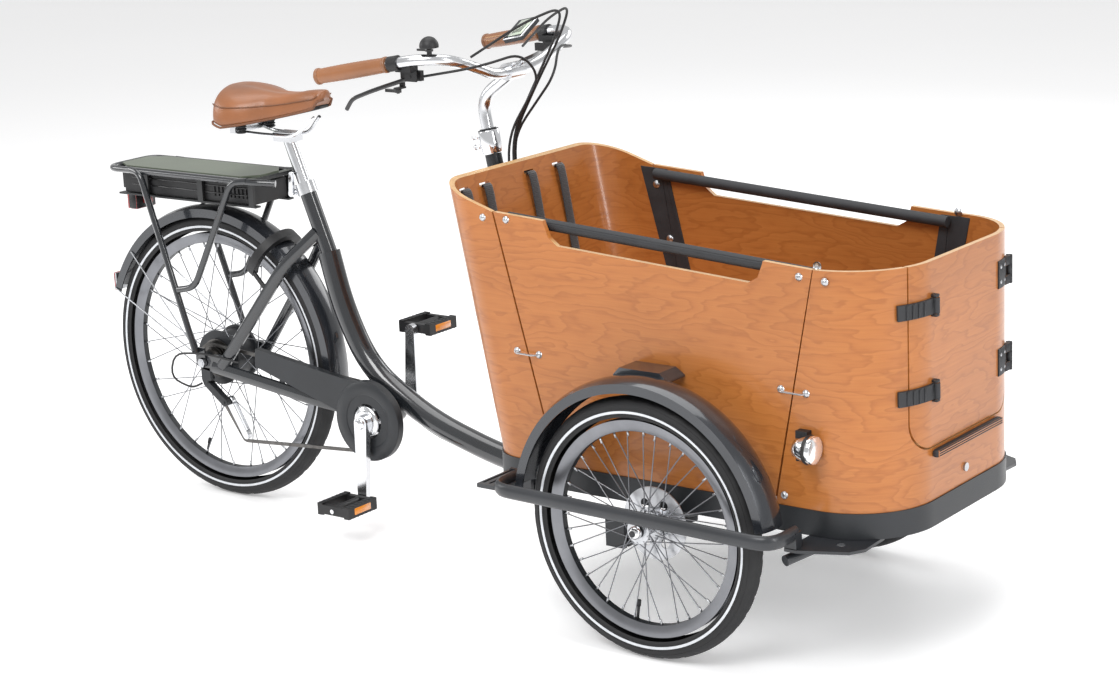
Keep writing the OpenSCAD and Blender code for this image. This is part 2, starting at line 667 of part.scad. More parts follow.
arm_y = 78;
arm_t = 14;
crank_tilt = 2.6;
pedal_pin_r = 5;
function crank_end(s) = [crank_x + s * crank_arm * sin(crank_tilt),
    crank_height + s * crank_arm * cos(crank_tilt)];
module crankset() {
    color(silver) {
        across(crank_x, crank_height, -arm_y - arm_t, arm_y + arm_t, spindle_r);
        for (s = [-1, 1]) {
            e = crank_end(s);
            translate([0, s * arm_y + (s > 0 ? arm_t : 0), 0]) rotate([90, 0, 0])
                link([crank_x, crank_height], e, 17, 12, arm_t);
            across(e[0], e[1], min(s * (arm_y + 2), s * 190), max(s * (arm_y + 2), s * 190), pedal_pin_r);
        }
        across(crank_x, crank_height, -arm_y - 1, -70, 24);
        across(crank_x, crank_height, -71, chain_y - 1, 34);
        // chainring
        translate([0, chain_y + 1.5, 0]) rotate([90, 0, 0]) linear_extrude(3) difference() {
            translate([crank_x, crank_height]) circle(r = ring_r - 0.3);
            for (i = [0 : 4]) translate([crank_x, crank_height]) rotate(i * 72) translate([52,
                0]) circle(r = 11);
        }
    }
}
pedal_in = arm_y + arm_t + 3;
pedal_out = 186;
module pedal(s) {
    e = crank_end(s);
    color(black) translate([e[0], 0, e[1]]) difference() {
        union() {
            for (x = [-44, 30]) translate([x, s > 0 ? pedal_in : -pedal_out, -13]) cube([14,
                pedal_out - pedal_in, 26]);
            for (y = [pedal_in, pedal_out - 12]) translate([-34, s > 0 ? y : -y - 12, -10]) cube([68,
                12, 20]);
            translate([0, s > 0 ? pedal_in : -pedal_out, 0]) rotate([-90, 0, 0]) cylinder(r = 10,
                h = pedal_out - pedal_in);
        }
        translate([0, -250, 0]) rotate([-90, 0, 0]) cylinder(r = pedal_pin_r + run_gap, h = 500);
    }
}
module pedal_right() { pedal(-1); }
module pedal_left() { pedal(1); }

// Cables clipped along the frame, and the gear cable's free loop behind the right dropout
module rear_cables() {
    color(black) {
        sweep(smooth_path([[front_axle_x - 470, 10, main_end_z - main_r - 3.5], [front_axle_x - 620,
            10, 202 - main_r - 5],
            [front_axle_x - 812, 10, 252 - main_r - 6], [front_axle_x - 900, 14, 300 - main_r - 8]],
                60, 4), 2.5, 8);
        sweep(smooth_path([[rear_axle_x + 100, -66.5, 336], [rear_axle_x + 30, -97, 356],
            [rear_axle_x - 70, -97, 344],
            [rear_axle_x - 96, -86, 280], [rear_axle_x - 40, -76, 262], [rear_axle_x - 11, -73.5,
                276]], 50, 4), 2.5, 8);
    }
}

// ---- chassis and front fittings --------------------------------------------------------------

// Outline of the box's foot, seen from above
module box_plan(inset) {
    half = box_half_w - inset;
    back = front_axle_x - box_back_foot + inset;
    front = front_axle_x + box_front - inset;
    rb = back_bend - inset;
    rf = front_bend - inset;
    translate([back + rb, -half]) square([front - rf - back - rb, 2 * half]);
    translate([back, -half + rb]) square([rb + 1, 2 * (half - rb)]);
    translate([front - rf - 1, -half + rf]) square([rf + 1, 2 * (half - rf)]);
    for (s = [-1, 1]) {
        translate([back + rb, s * (half - rb)]) circle(r = rb);
        translate([front - rf, s * (half - rf)]) circle(r = rf);
    }
}
skirt_low = 262;
skirt_out = 3;
tray_t = 5;
caliper_x = front_axle_x - 84;
module chassis() {
    color(graphite) {
        translate([0, 0, skirt_low]) linear_extrude(box_low - skirt_low) difference() {
            box_plan(-skirt_out);
            box_plan(tray_t);
        }
        translate([0, 0, skirt_low]) linear_extrude(tray_t) box_plan(2);
        // axle beam, longitudinal rail and kingpin
        across(front_axle_x, front_wheel_r, -front_y + 38, front_y - 38, 15);
        block([kingpin_x - 40, -30, 232], [front_axle_x + 20, 30, skirt_low + 1]);
        translate([kingpin_x, 0, kingpin_low - 12]) cylinder(r = kingpin_r, h = 100);
        translate([kingpin_x, 0, kingpin_low - 12]) cylinder(r = kingpin_r + 6, h = 9);
        translate([kingpin_x, 0, kingpin_top + 3]) cylinder(r = kingpin_r + 10, h = 30);
        block([front_axle_x - box_back_foot - 72, -28, skirt_low], [front_axle_x - box_back_foot + 30,
            28, skirt_low + tray_t]);
        for (s = [-1, 1]) {
            across(front_axle_x, front_wheel_r, min(s * (front_y - 40), s * (front_y + 44)),
                   max(s * (front_y - 40), s * (front_y + 44)), front_axle_r);
            // brake caliper and its arm, with a slot for the disc
            y0 = front_y - 20;
            mirror([0, s < 0 ? 1 : 0, 0]) difference() {
                union() {
                    block([caliper_x - 22, y0 - 30, front_wheel_r - 58], [caliper_x + 20, y0,
                        front_wheel_r - 6]);
                    block([caliper_x + 10, y0 - 30, front_wheel_r - 40], [front_axle_x + 4, y0 - 22,
                        front_wheel_r - 6]);
                }
                block([caliper_x - 30, y0 - 14, front_wheel_r - 100], [front_axle_x, y0 - 8.5,
                    front_wheel_r]);
            }
        }
    }
}

rear_seam_low = front_axle_x - 263;
rear_seam_high = front_axle_x - 388;
front_seam_low = front_axle_x + 229;
front_seam_high = front_axle_x + 317;
seam_rise = 482;
seam_front_rise = 439;
function rear_seam_x(z) = rear_seam_low + (rear_seam_high - rear_seam_low) * (z - box_low) / seam_rise;
function front_seam_x(z) = front_seam_low + (front_seam_high - front_seam_low) * (z - box_low) / seam_front_rise;
function side_top(x) = side_top_rear + (front_top - side_top_rear) * (x - rear_seam_high) / (front_seam_high - rear_seam_high);

// Moves a shape into the leaning plane of the back panel, whose outer foot line is at x = 0
module leaning() {
    translate([front_axle_x - box_back_foot, 0, box_low]) rotate([0, -back_lean, 0]) children();
}
arch_r = 1114;
belt_y = [-195, -130, 14, 108];
belt_slot_z = 808;
module box_back() {
    color(wood) difference() {
        intersection() {
            leaning() translate([0, 0, -120]) linear_extrude(900) difference() {
                union() {
                    translate([back_bend, -box_half_w]) square([300, 2 * box_half_w]);
                    translate([0, -box_half_w + back_bend]) square([back_bend + 1,
                        2 * (box_half_w - back_bend)]);
                    for (s = [-1, 1]) translate([back_bend,
                        s * (box_half_w - back_bend)]) circle(r = back_bend);
                }
                translate([back_bend, -box_half_w + ply]) square([301, 2 * (box_half_w - ply)]);
                translate([ply, -box_half_w + back_bend]) square([back_bend,
                  2 * (box_half_w - back_bend)]);
                for (s = [-1, 1]) translate([back_bend,
                    s * (box_half_w - back_bend)]) circle(r = back_bend - ply);
            }
            // side outline: foot, seam and sloping upper edge
            translate([0, 300, 0]) rotate([90, 0, 0]) linear_extrude(600) polygon([
                [front_axle_x - 800, box_low], [rear_seam_x(box_low) - seam / 2, box_low],
                [rear_seam_high - seam / 2, side_top_rear], [front_axle_x - 536, side_top_rear + 46],
                [front_axle_x - 800, side_top_rear + 128]]);
            // arched upper edge
            translate([front_axle_x - 800, 0, back_top - arch_r]) rotate([0, 90,
                0]) cylinder(r = arch_r, h = 700, $fn = 200);
        }
        for (y = belt_y) translate([front_axle_x - 700, y - 15, belt_slot_z]) cube([260, 30, 6]);
    }
}
module box_sides() {
    color(wood) both_sides() translate([0, box_half_w, 0]) rotate([90, 0,
        0]) linear_extrude(ply) difference() {
        polygon([[rear_seam_x(box_low) + seam / 2, box_low], [front_seam_x(box_low) - seam / 2, box_low],
                 [front_seam_high - seam / 2, side_top(front_seam_high)], [rear_seam_high + seam / 2,
                     side_top_rear]]);
        polygon([[cut_rear - 4, side_top(cut_rear) + 9], [cut_rear, side_top(cut_rear) - 6],
                 [cut_rear + 10, side_top(cut_rear) - cutout_depth * 0.7], [cut_rear + 30,
                     side_top(cut_rear + 30) - cutout_depth],
                 [cut_front - 30, side_top(cut_front - 30) - cutout_depth], [cut_front - 10,
                     side_top(cut_front) - cutout_depth * 0.7],
                 [cut_front, side_top(cut_front) - 6], [cut_front + 4, side_top(cut_front) + 9]]);
    }
}
cut_rear = front_axle_x - 268;
cut_front = front_axle_x + 213;

door_corner = 55;
module door_outline(half, low) {
    translate([-half, low + door_corner]) square([2 * half, 600]);
    translate([-half + door_corner, low]) square([2 * (half - door_corner), 600]);
    for (s = [-1, 1]) translate([s * (half - door_corner), low + door_corner]) circle(r = door_corner);
}
// The bent front sheet, from its plan, between two heights
module front_sheet(low, high) {
    translate([0, 0, low]) linear_extrude(high - low) intersection() {
        difference() {
            box_plan(0);
            box_plan(ply);
        }
        translate([front_axle_x + 150, -400]) square([600, 800]);
    }
}
module through_door(half, low) {
    translate([front_axle_x + 200, 0, 0]) rotate([90, 0, 90]) linear_extrude(400) door_outline(half, low);
}
hinge_y = 191;
hinge_x = front_axle_x + box_front - 8;
hinge_z = [504, 670];
hinge_pin_r = 3;
knuckle_r = 6;
module box_front_panel() {
    color(wood) {
        difference() {
            front_sheet(box_low, front_top);
            translate([0, 300, 0]) rotate([90, 0, 0]) linear_extrude(600) polygon([
                [front_axle_x, box_low - 1], [front_seam_x(box_low) + seam / 2, box_low - 1],
                [front_seam_high + seam / 2, side_top(front_seam_high) + 10], [front_axle_x,
                    front_top + 10]]);
            through_door(door_half_w, door_low);
        }
        // fixed leaves of the two door hinges
        for (z = hinge_z) {
            difference() {
                union() {
                    block([hinge_x - 16, hinge_y - 2, z - 9], [hinge_x + 3, hinge_y + 6, z + 9]);
                    translate([hinge_x, hinge_y, z - 9]) cylinder(r = knuckle_r, h = 18);
                }
                translate([hinge_x, hinge_y, z - 10]) cylinder(r = hinge_pin_r + run_gap, h = 20);
            }
        }
    }
}
module box_door() {
    color(wood) {
        intersection() {
            front_sheet(box_low, front_top);
            through_door(door_half_w - door_gap, door_low + door_gap);
        }
        for (z = hinge_z) {
            translate([hinge_x, hinge_y, z - 26]) cylinder(r = hinge_pin_r, h = 52);
            for (k = [-1, 1]) {
                translate([hinge_x, hinge_y, z + k * 18 - 8.5]) cylinder(r = knuckle_r, h = 17);
                block([hinge_x - 4, hinge_y - 21, z + k * 18 - 8.5], [hinge_x + 4, hinge_y,
                    z + k * 18 + 8.5]);
            }
        }
        // posts that the latches turn on
        for (z = latch_z) translate([latch_x, latch_y, z - 20]) {
            cylinder(r = latch_pin_r, h = 40);
            for (k = [0, 35]) translate([-9, -5, k]) cube([12, 10, 5]);
        }
    }
}
latch_z = [514, 669];
latch_y = -118;
latch_x = front_axle_x + box_front + 8;
latch_pin_r = 3;
latch_end = 33;
// A strap that follows the panel's bend, from its pin on the door to past the door's edge
module latch(z) {
    bend_x = front_axle_x + box_front - front_bend;
    bend_y = -box_half_w + front_bend;
    color(graphite) translate([0, 0, z - 14]) linear_extrude(28) difference() {
        union() {
            polygon(concat(
                [for (k = [0 : 6]) [bend_x + (front_bend + 7) * cos(k / 6 * latch_end),
                    bend_y - (front_bend + 7) * sin(k / 6 * latch_end)]],
                [for (k = [6 : -1 : 0]) [bend_x + (front_bend + 1) * cos(k / 6 * latch_end),
                    bend_y - (front_bend + 1) * sin(k / 6 * latch_end)]],
                [[latch_x - 6, latch_y], [latch_x, latch_y]]));
            translate([latch_x, latch_y]) circle(r = 6);
        }
        translate([latch_x, latch_y]) circle(r = latch_pin_r + run_gap);
    }
}
module latch_upper() { latch(latch_z[1]); }
module latch_lower() { latch(latch_z[0]); }

module box_floor() {
    color(wood) translate([0, 0, skirt_low + tray_t]) linear_extrude(9) box_plan(tray_t + 0.5);
    // rubber-edged step under the door
    color(graphite) block([front_axle_x + box_front + 0.5, -122, door_low - 16],
        [front_axle_x + box_front + step_depth, 122, door_low - 4]);
}
bench_top = 520;
bench_depth = 230;
module bench() {
    x0 = front_axle_x - 455;
    color(wood) {
        half = box_half_w - ply - 8;
        translate([0, 0, bench_top - 9]) linear_extrude(9) polygon([
            [x0, -half + 74], [x0 + 22, -half + 22], [x0 + 74, -half], [x0 + bench_depth, -half],
            [x0 + bench_depth, half], [x0 + 74, half], [x0 + 22, half - 22], [x0, half - 74]]);
        block([x0 + bench_depth - 14, -box_half_w + ply + 8, skirt_low + tray_t + 13],
            [x0 + bench_depth - 5, box_half_w - ply - 8, bench_top - 9]);
    }
}
rail_in = 14;
rail_tube_r = 11;
bracket_t = 3;
module grab_rails() {
    y1 = box_half_w - ply;
    color(black) both_sides() {
        // brackets across the seams
        translate([0, y1, 0]) rotate([90, 0, 0]) linear_extrude(bracket_t) {
            polygon([[rear_seam_x(780) - 32, 788], [rear_seam_x(780) + 34, 785],
                [rear_seam_x(330) + 26, 330], [rear_seam_x(330) - 24, 330]]);
            polygon([[front_seam_x(735) - 34, 744], [front_seam_x(735) + 28, 742],
                [front_seam_x(330) + 22, 330], [front_seam_x(330) - 26, 330]]);
        }
        sweep([[rear_seam_x(772) + 12, y1 - bracket_t - rail_in, side_top(rear_seam_x(772)) - 14],
               [front_seam_x(735) - 12, y1 - bracket_t - rail_in, side_top(front_seam_x(735)) - 14]],
                   rail_tube_r, 20);
        for (x = [rear_seam_x(772) + 12, front_seam_x(735) - 12])
            across(x + (x < front_axle_x ? 8 : -8), side_top(x) - 14, y1 - bracket_t - rail_in,
                y1 - bracket_t + 0.5, 7);
    }
}
bolt_r = 8;
// Dome-headed bolts and the wire clips over the seams
module dome(x, z, y) {
    translate([x, y, z]) rotate([-90, 0, 0]) intersection() {
        translate([0, 0, -bolt_r * 0.35]) sphere(r = bolt_r);
        cylinder(r = bolt_r, h = bolt_r);
    }
}
module panel_fittings() {
    color(silver) both_sides() {
        for (z = [780]) {
            dome(rear_seam_x(z) - 28, z - 1, box_half_w + 0.02);
            dome(rear_seam_x(z) + 28, z - 1, box_half_w + 0.02);
        }
        dome(front_seam_x(733) - 26, 733, box_half_w + 0.02);
        dome(front_seam_x(733) + 26, 729, box_half_w + 0.02);
        dome(front_seam_x(328) + 16, 328, box_half_w + 0.02);
        for (x = [rear_seam_x(525), front_seam_x(524)]) {
            dome(x - 26, 525, box_half_w + 0.02);
            dome(x + 26, 523, box_half_w + 0.02);
            tube([[x - 26, box_half_w + 4, 525], [x - 20, box_half_w + 11, 524], [x + 20,
                box_half_w + 11, 523], [x + 26, box_half_w + 4, 523]], 1.8, 8, 3, 8);
        }
    }
    color(silver) translate([front_axle_x + box_front, 0, 340]) rotate([0, 90, 0]) cylinder(r = bolt_r,
        h = 4);
}
guard_out = 422;
guard_z = 292;
module side_guards() {
    color(anthracite) both_sides() {
        tube([[front_axle_x - 306, 330, guard_z + 6], [front_axle_x - 306, guard_out, guard_z + 6],
              [front_axle_x + 312, guard_out, guard_z - 4], [front_axle_x + 312, 340, guard_z - 4]],
                  14, 50, 6, 14, 0.62);
        // step plate behind the wheel
        difference() {
            block([front_axle_x - 352, box_half_w + 22, guard_z - 4], [front_axle_x - 290,
                guard_out - 16, guard_z + 4]);
            for (i = [0 : 3]) translate([front_axle_x - 347 + i * 15, box_half_w + 34,
                guard_z + 2]) cube([6, 90, 4]);
        }
        block([front_axle_x - 352, box_half_w - 30, skirt_low - 7], [front_axle_x - 300,
            box_half_w + 34, skirt_low - 0.5]);
        block([front_axle_x - 352, box_half_w + 26, skirt_low - 7], [front_axle_x - 300,
            box_half_w + 34, guard_z + 6]);
        // bracket plate before the wheel, with its slot and peg
        translate([0, 0, skirt_low - 6]) linear_extrude(5.5) difference() {
            polygon([[front_axle_x + 300, 250], [front_axle_x + 420, 215], [front_axle_x + 424, 290],
                [front_axle_x + 408, 318],
                     [front_axle_x + 322, 356], [front_axle_x + 298, 356], [front_axle_x + 300, 300]]);
            translate([front_axle_x + 376, 290]) circle(r = 9);
        }
        block([front_axle_x + 297, 334, skirt_low - 6], [front_axle_x + 322, 354, guard_z]);
        rod([front_axle_x + 330, 262, skirt_low - 12], [front_axle_x + 296, 350, skirt_low - 26], 10);
    }
}
front_guard_r = front_wheel_r + 27;
front_guard_half = 33;
module front_mudguards() {
    color(anthracite) both_sides() {
        translate([front_axle_x, front_y, front_wheel_r]) rotate([90, 0, 0]) mudguard(front_guard_r,
            front_guard_half, 9, 171);
        // block that holds the mudguard off the box
        cap_low = front_wheel_r + front_guard_r - 6;
        difference() {
            hull() {
                block([front_axle_x - 78, box_half_w + 0.5, cap_low - 6], [front_axle_x + 42,
                    front_y - front_guard_half + 8, cap_low + 5]);
                block([front_axle_x - 62, box_half_w + 6, cap_low], [front_axle_x + 26, front_y - 22,
                    cap_low + 20]);
            }
            translate([front_axle_x, 0, front_wheel_r]) rotate([-90, 0,
                0]) cylinder(r = front_guard_r - 1, h = 500);
        }
    }
}
lamp = [front_axle_x + 300, -box_half_w, 428];
module headlight() {
    color(black) {
        block([lamp[0] - 16, lamp[1] - 16, lamp[2] - 26], [lamp[0] + 8, lamp[1] - 0.5, lamp[2] + 30]);
        hull() {
            translate([lamp[0] - 4, lamp[1] - 24, lamp[2] + 2]) rotate([0, 90, 0]) cylinder(r = 18,
                h = 4, $fn = 32);
            translate([lamp[0] + 24, lamp[1] - 26, lamp[2] + 2]) rotate([0, 90, 0]) cylinder(r = 25,
                h = 6, $fn = 32);
        }
    }
}

// ---- steering column and handlebar -----------------------------------------------------------

column_r = 17;
column_low = [front_axle_x - 480, 0, skirt_low + 6];
column_dir = [-sin(back_lean + 0.5), 0, cos(back_lean + 0.5)];
column_len = 640;
column_top = column_low + column_dir * column_len;
stem_r = 12.6;
stem_in = 90;
module steering_column() {
    color([0.2, 0.21, 0.23]) difference() {
        union() {
            rod(column_low, column_top, column_r);
            rod(column_low + column_dir * (column_len - 26),
                column_low + column_dir * (column_len - 2), column_r + 4);
            // yoke that bolts to the back panel
            leaning() translate([-34, -52, 505]) cube([33.5, 104, 5]);
            leaning() translate([-5.5, -52, 480]) cube([5, 104, 50]);
        }
        rod(column_top - column_dir * (stem_in + 60), column_top + column_dir, stem_r + run_gap);
    }
}
bar_mid = [front_axle_x - 536, 0, 1016];
stem_bend = column_top + column_dir * 62;
module stem() {
    color(silver) {
        difference() {
            union() {
                sweep(smooth_path([column_top - column_dir * stem_in, stem_bend, bar_mid - [6, 0, 6]],
                    38, 6), stem_r, 24);
                across(bar_mid[0], bar_mid[2], -24, 24, bar_r + 6);
            }
            across(bar_mid[0], bar_mid[2], -25, 25, bar_r + 0.05);
        }
    }
}
// Right half of the handlebar, from the middle to the end of the grip
grip_inner = [front_axle_x - 650, -246, 1056];
grip_end = [front_axle_x - 812, -268, 1028];
bar_half = [[front_axle_x - 536, -60, 1016], [front_axle_x - 530, -112, 1034], [front_axle_x - 540,
    -196, 1064],
            [front_axle_x - 588, -238, 1067]];
function flip_y(p) = [p[0], -p[1], p[2]];
bar_points = concat([grip_end], [grip_inner], [bar_half[3]], [bar_half[2]], [bar_half[1]], [bar_half[0]],
                    [for (q = bar_half) flip_y(q)], [flip_y(grip_inner)], [flip_y(grip_end)]);
module handlebar() {
    color(silver) sweep(smooth_path(bar_points, 34, 4), bar_r, 16);
}
module grips() {
    d = unit(grip_end - grip_inner);
    color(leather_brown) both_sides() difference() {
        rod(grip_inner, grip_end + d * 6, grip_r);
        rod(grip_inner - d, grip_end + d * 0.2, bar_r + 0.05);
    }
}
grip_dir = unit(grip_end - grip_inner);
lever_pivot = [front_axle_x - 606, -226, 1032];
shift_pivot = [front_axle_x - 640, -232, 1022];
bell_at = [front_axle_x - 566, -219, 1092];
module control_clamps() {
    color(black) {
        for (s = [0, 1]) mirror([0, s, 0]) {
            difference() {
                union() {
                    rod(grip_inner - grip_dir * 4, grip_inner - grip_dir * 26, bar_r + 4);
                    translate([lever_pivot[0] - 30, lever_pivot[1] - 16,
                        lever_pivot[2] + 9.5]) cube([38, 24, 12]);
                    translate([lever_pivot[0] - 14, lever_pivot[1] - 8, lever_pivot[2] - 9]) cube([30,
                        3, 20]);
                    translate([lever_pivot[0] - 14, lever_pivot[1] + 5, lever_pivot[2] - 9]) cube([30,
                        10, 20]);
                    translate([lever_pivot[0] - 36, lever_pivot[1] + 6, lever_pivot[2] - 9]) cube([40,
                        8, 16]);
                }
                rod(grip_inner, grip_inner - grip_dir * 60, bar_r + 0.05);
            }
            across(lever_pivot[0], lever_pivot[2], lever_pivot[1] - 9, lever_pivot[1] + 9, 3);
        }
    }
    // hanger and pin of the shift lever
    color(black) {
        block(shift_pivot + [-6, 12, -14], shift_pivot + [4, 18, 2]);
        block(shift_pivot + [-6, -6, -15.5], shift_pivot + [6, 18, -12]);
        translate(shift_pivot - [0, 0, 24]) cylinder(r = 3, h = 10);
    }
    // bell on its clamp
    color(black) {
        translate(bell_at) intersection() {
            sphere(r = 19);
            translate([-20, -20, -3]) cube([40, 40, 30]);
        }
        translate(bell_at - [0, 0, 20]) cylinder(r = 5, h = 18);
    }
}
lever_points = [lever_pivot, lever_pivot + [-26, 0, -9], lever_pivot + [-48, -20, -17],
    lever_pivot + [-76, -36, -27], lever_pivot + [-122, -42, -44], lever_pivot + [-140, -40, -66]];
module brake_lever(s) {
    color(black) mirror([0, s, 0]) difference() {
        union() {
            sweep(smooth_path(lever_points, 12, 4), 4.4, 10);
            across(lever_pivot[0], lever_pivot[2], lever_pivot[1] - 4.5, lever_pivot[1] + 4.5, 8);
        }
        across(lever_pivot[0], lever_pivot[2], lever_pivot[1] - 20, lever_pivot[1] + 20, 3 + run_gap);
    }
}
module brake_lever_right() { brake_lever(0); }
module brake_lever_left() { brake_lever(1); }
module bell_lever() {
    color(black) difference() {
        union() {
            translate(bell_at + [0, 0, -10]) cylinder(r = 8, h = 4);
            translate(bell_at + [-30, -2, -10]) cube([26, 4, 4]);
        }
        translate(bell_at + [0, 0, -11]) cylinder(r = 5 + run_gap, h = 6);
    }
}
module shift_lever() {
    color(black) difference() {
        union() {
            translate(shift_pivot + [-30, -4, -22]) cube([26, 8, 6]);
            translate(shift_pivot - [0, 0, 22]) cylinder(r = 7, h = 6);
        }
        translate(shift_pivot - [0, 0, 23]) cylinder(r = 3 + run_gap, h = 8);
    }
}
display_at = [front_axle_x - 610, 128, 1078];
display_tilt = [25, -12, 0];
module display() {
    color([0.45, 0.47, 0.47]) {
        difference() {
            translate(display_at) rotate(display_tilt) union() {
                translate([-24, -36, -6]) cube([48, 72, 12]);
                translate([-8, -14, -14]) cube([14, 28, 9]);
            }
            translate(display_at) rotate(display_tilt) translate([-18, -30,
                0]) cylinder(r = 4 + run_gap, h = 8);
        }
    }
}
module display_button() {
    color(black) translate(display_at) rotate(display_tilt) translate([-18, -30, 1.4]) cylinder(r = 4,
        h = 6);
}
// Brake, gear and motor cables from the right and left controls down behind the box
module front_cables() {
    color(black) {
        for (s = [-1, 1]) {
            d = column_dir;
            sweep(smooth_path([lever_pivot + [20, s < 0 ? 10 : -2 * lever_pivot[1] - 10, 0],
                [front_axle_x - 498, s * 160, 1046], [front_axle_x - 466, s * 60, 1062],
                [front_axle_x - 450 + 6 * s, s * 16, 1010], column_top + [52, s * 9, -20],
                column_top - d * 250 + [27, s * 9, 0], column_top - d * 480 + [27, s * 9, 0]], 60, 5),
                    2.6, 8);
            sweep(smooth_path([[front_axle_x - 574, s * 84, 1052], [front_axle_x - 470, s * 40, 1120],
                [front_axle_x - 396, s * 12, 1150], [front_axle_x - 420, s * 8, 1090],
                    [front_axle_x - 476, s * 4, 1000],
                column_top + [60, s * 3.5, -16], column_top - d * 250 + [34, s * 3.5, 0],
                column_top - d * 480 + [34, s * 3.5, 0]], 60, 5), 2.6, 8);
        }
    }
}
belt_w = 26;
module belts() {
    color(black) for (y = belt_y) {
        x_slot = front_axle_x - box_back_foot - (belt_slot_z - box_low) * tan(back_lean) + ply / cos(back_lean);
        x_seat = front_axle_x - box_back_foot - (bench_top - box_low) * tan(back_lean) + ply / cos(back_lean);
        translate([0, y + belt_w / 2, 0]) rotate([90, 0, 0]) linear_extrude(belt_w) polygon([
            [x_slot + 1, belt_slot_z + 3], [x_slot + 4, belt_slot_z + 4], [x_seat + 30,
                bench_top + 60], [x_seat + 60, bench_top + 4],
            [x_seat + 60, bench_top + 1], [x_seat + 56, bench_top + 1], [x_seat + 26, bench_top + 60],
                [x_slot + 1, belt_slot_z]]);
    }
}

main_frame();
rear_stays();
rear_mudguard();
mudguard_stays();
luggage_rack();
rack_plate();
tail_light();
ring_lock();
chain_guard();
chain();
seat_collar();
derailleur();
rear_axle();
rear_cables();
battery();
lock_shackle();
seatpost();
saddle();
seat_lever();
rear_tyre();
rear_rim();
rear_hub();
cassette();
crankset();
pedal_right();
pedal_left();
derailleur_cage();
front_right_tyre();
front_right_rim();
front_right_hub();
front_left_tyre();
front_left_rim();
front_left_hub();
chassis();
box_back();
box_sides();
box_front_panel();
box_floor();
bench();
grab_rails();
panel_fittings();
side_guards();
front_mudguards();
headlight();
steering_column();
belts();
box_door();
latch_upper();
latch_lower();
stem();
handlebar();
grips();
control_clamps();
brake_lever_right();
brake_lever_left();
bell_lever();
shift_lever();
display();
display_button();
front_cables();
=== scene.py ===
import math

import bpy
import numpy as np
from mathutils import Matrix, Vector


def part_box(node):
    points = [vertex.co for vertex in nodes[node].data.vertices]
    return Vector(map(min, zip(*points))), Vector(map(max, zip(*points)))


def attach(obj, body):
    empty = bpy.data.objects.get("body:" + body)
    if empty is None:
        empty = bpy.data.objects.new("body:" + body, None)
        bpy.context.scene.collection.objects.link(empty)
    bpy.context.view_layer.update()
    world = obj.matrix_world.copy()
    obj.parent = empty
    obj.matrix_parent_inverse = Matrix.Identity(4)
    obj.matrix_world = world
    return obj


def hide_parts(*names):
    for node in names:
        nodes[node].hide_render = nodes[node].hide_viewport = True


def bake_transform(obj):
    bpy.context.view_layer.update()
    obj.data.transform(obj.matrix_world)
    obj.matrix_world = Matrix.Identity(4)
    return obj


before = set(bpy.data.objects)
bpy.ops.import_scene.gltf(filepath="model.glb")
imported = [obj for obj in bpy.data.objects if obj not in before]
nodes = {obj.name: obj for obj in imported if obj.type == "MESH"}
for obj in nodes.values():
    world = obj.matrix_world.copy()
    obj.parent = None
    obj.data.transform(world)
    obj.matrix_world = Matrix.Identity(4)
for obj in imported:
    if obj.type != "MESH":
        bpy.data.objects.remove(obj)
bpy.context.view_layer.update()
V = Vector

# ---- the camera, looking at the right front ---------------------------------------------------

az, el, roll = math.radians(37.4), math.radians(14.3), math.radians(-2.6)
back = V((math.sin(az) * math.cos(el), -math.cos(az) * math.cos(el), math.sin(el)))
right = (-back).cross(V((0, 0, 1))).normalized()
up = right.cross(-back)
r2 = math.cos(roll) * right + math.sin(roll) * up
u2 = -math.sin(roll) * right + math.cos(roll) * up
cam_data = bpy.data.cameras.new("camera")
cam_data.lens = 79.72
cam_data.sensor_width = 36
cam_data.clip_end = 60
cam = bpy.data.objects.new("camera", cam_data)
bpy.context.collection.objects.link(cam)
m = Matrix.Identity(4)
for i, c in enumerate((r2, u2, back)):
    for j in range(3):
        m[j][i] = c[j]
m.translation = V((3.131, -3.868, 1.703))
cam.matrix_world = m
bpy.context.scene.camera = cam

# ---- materials -------------------------------------------------------------------------------


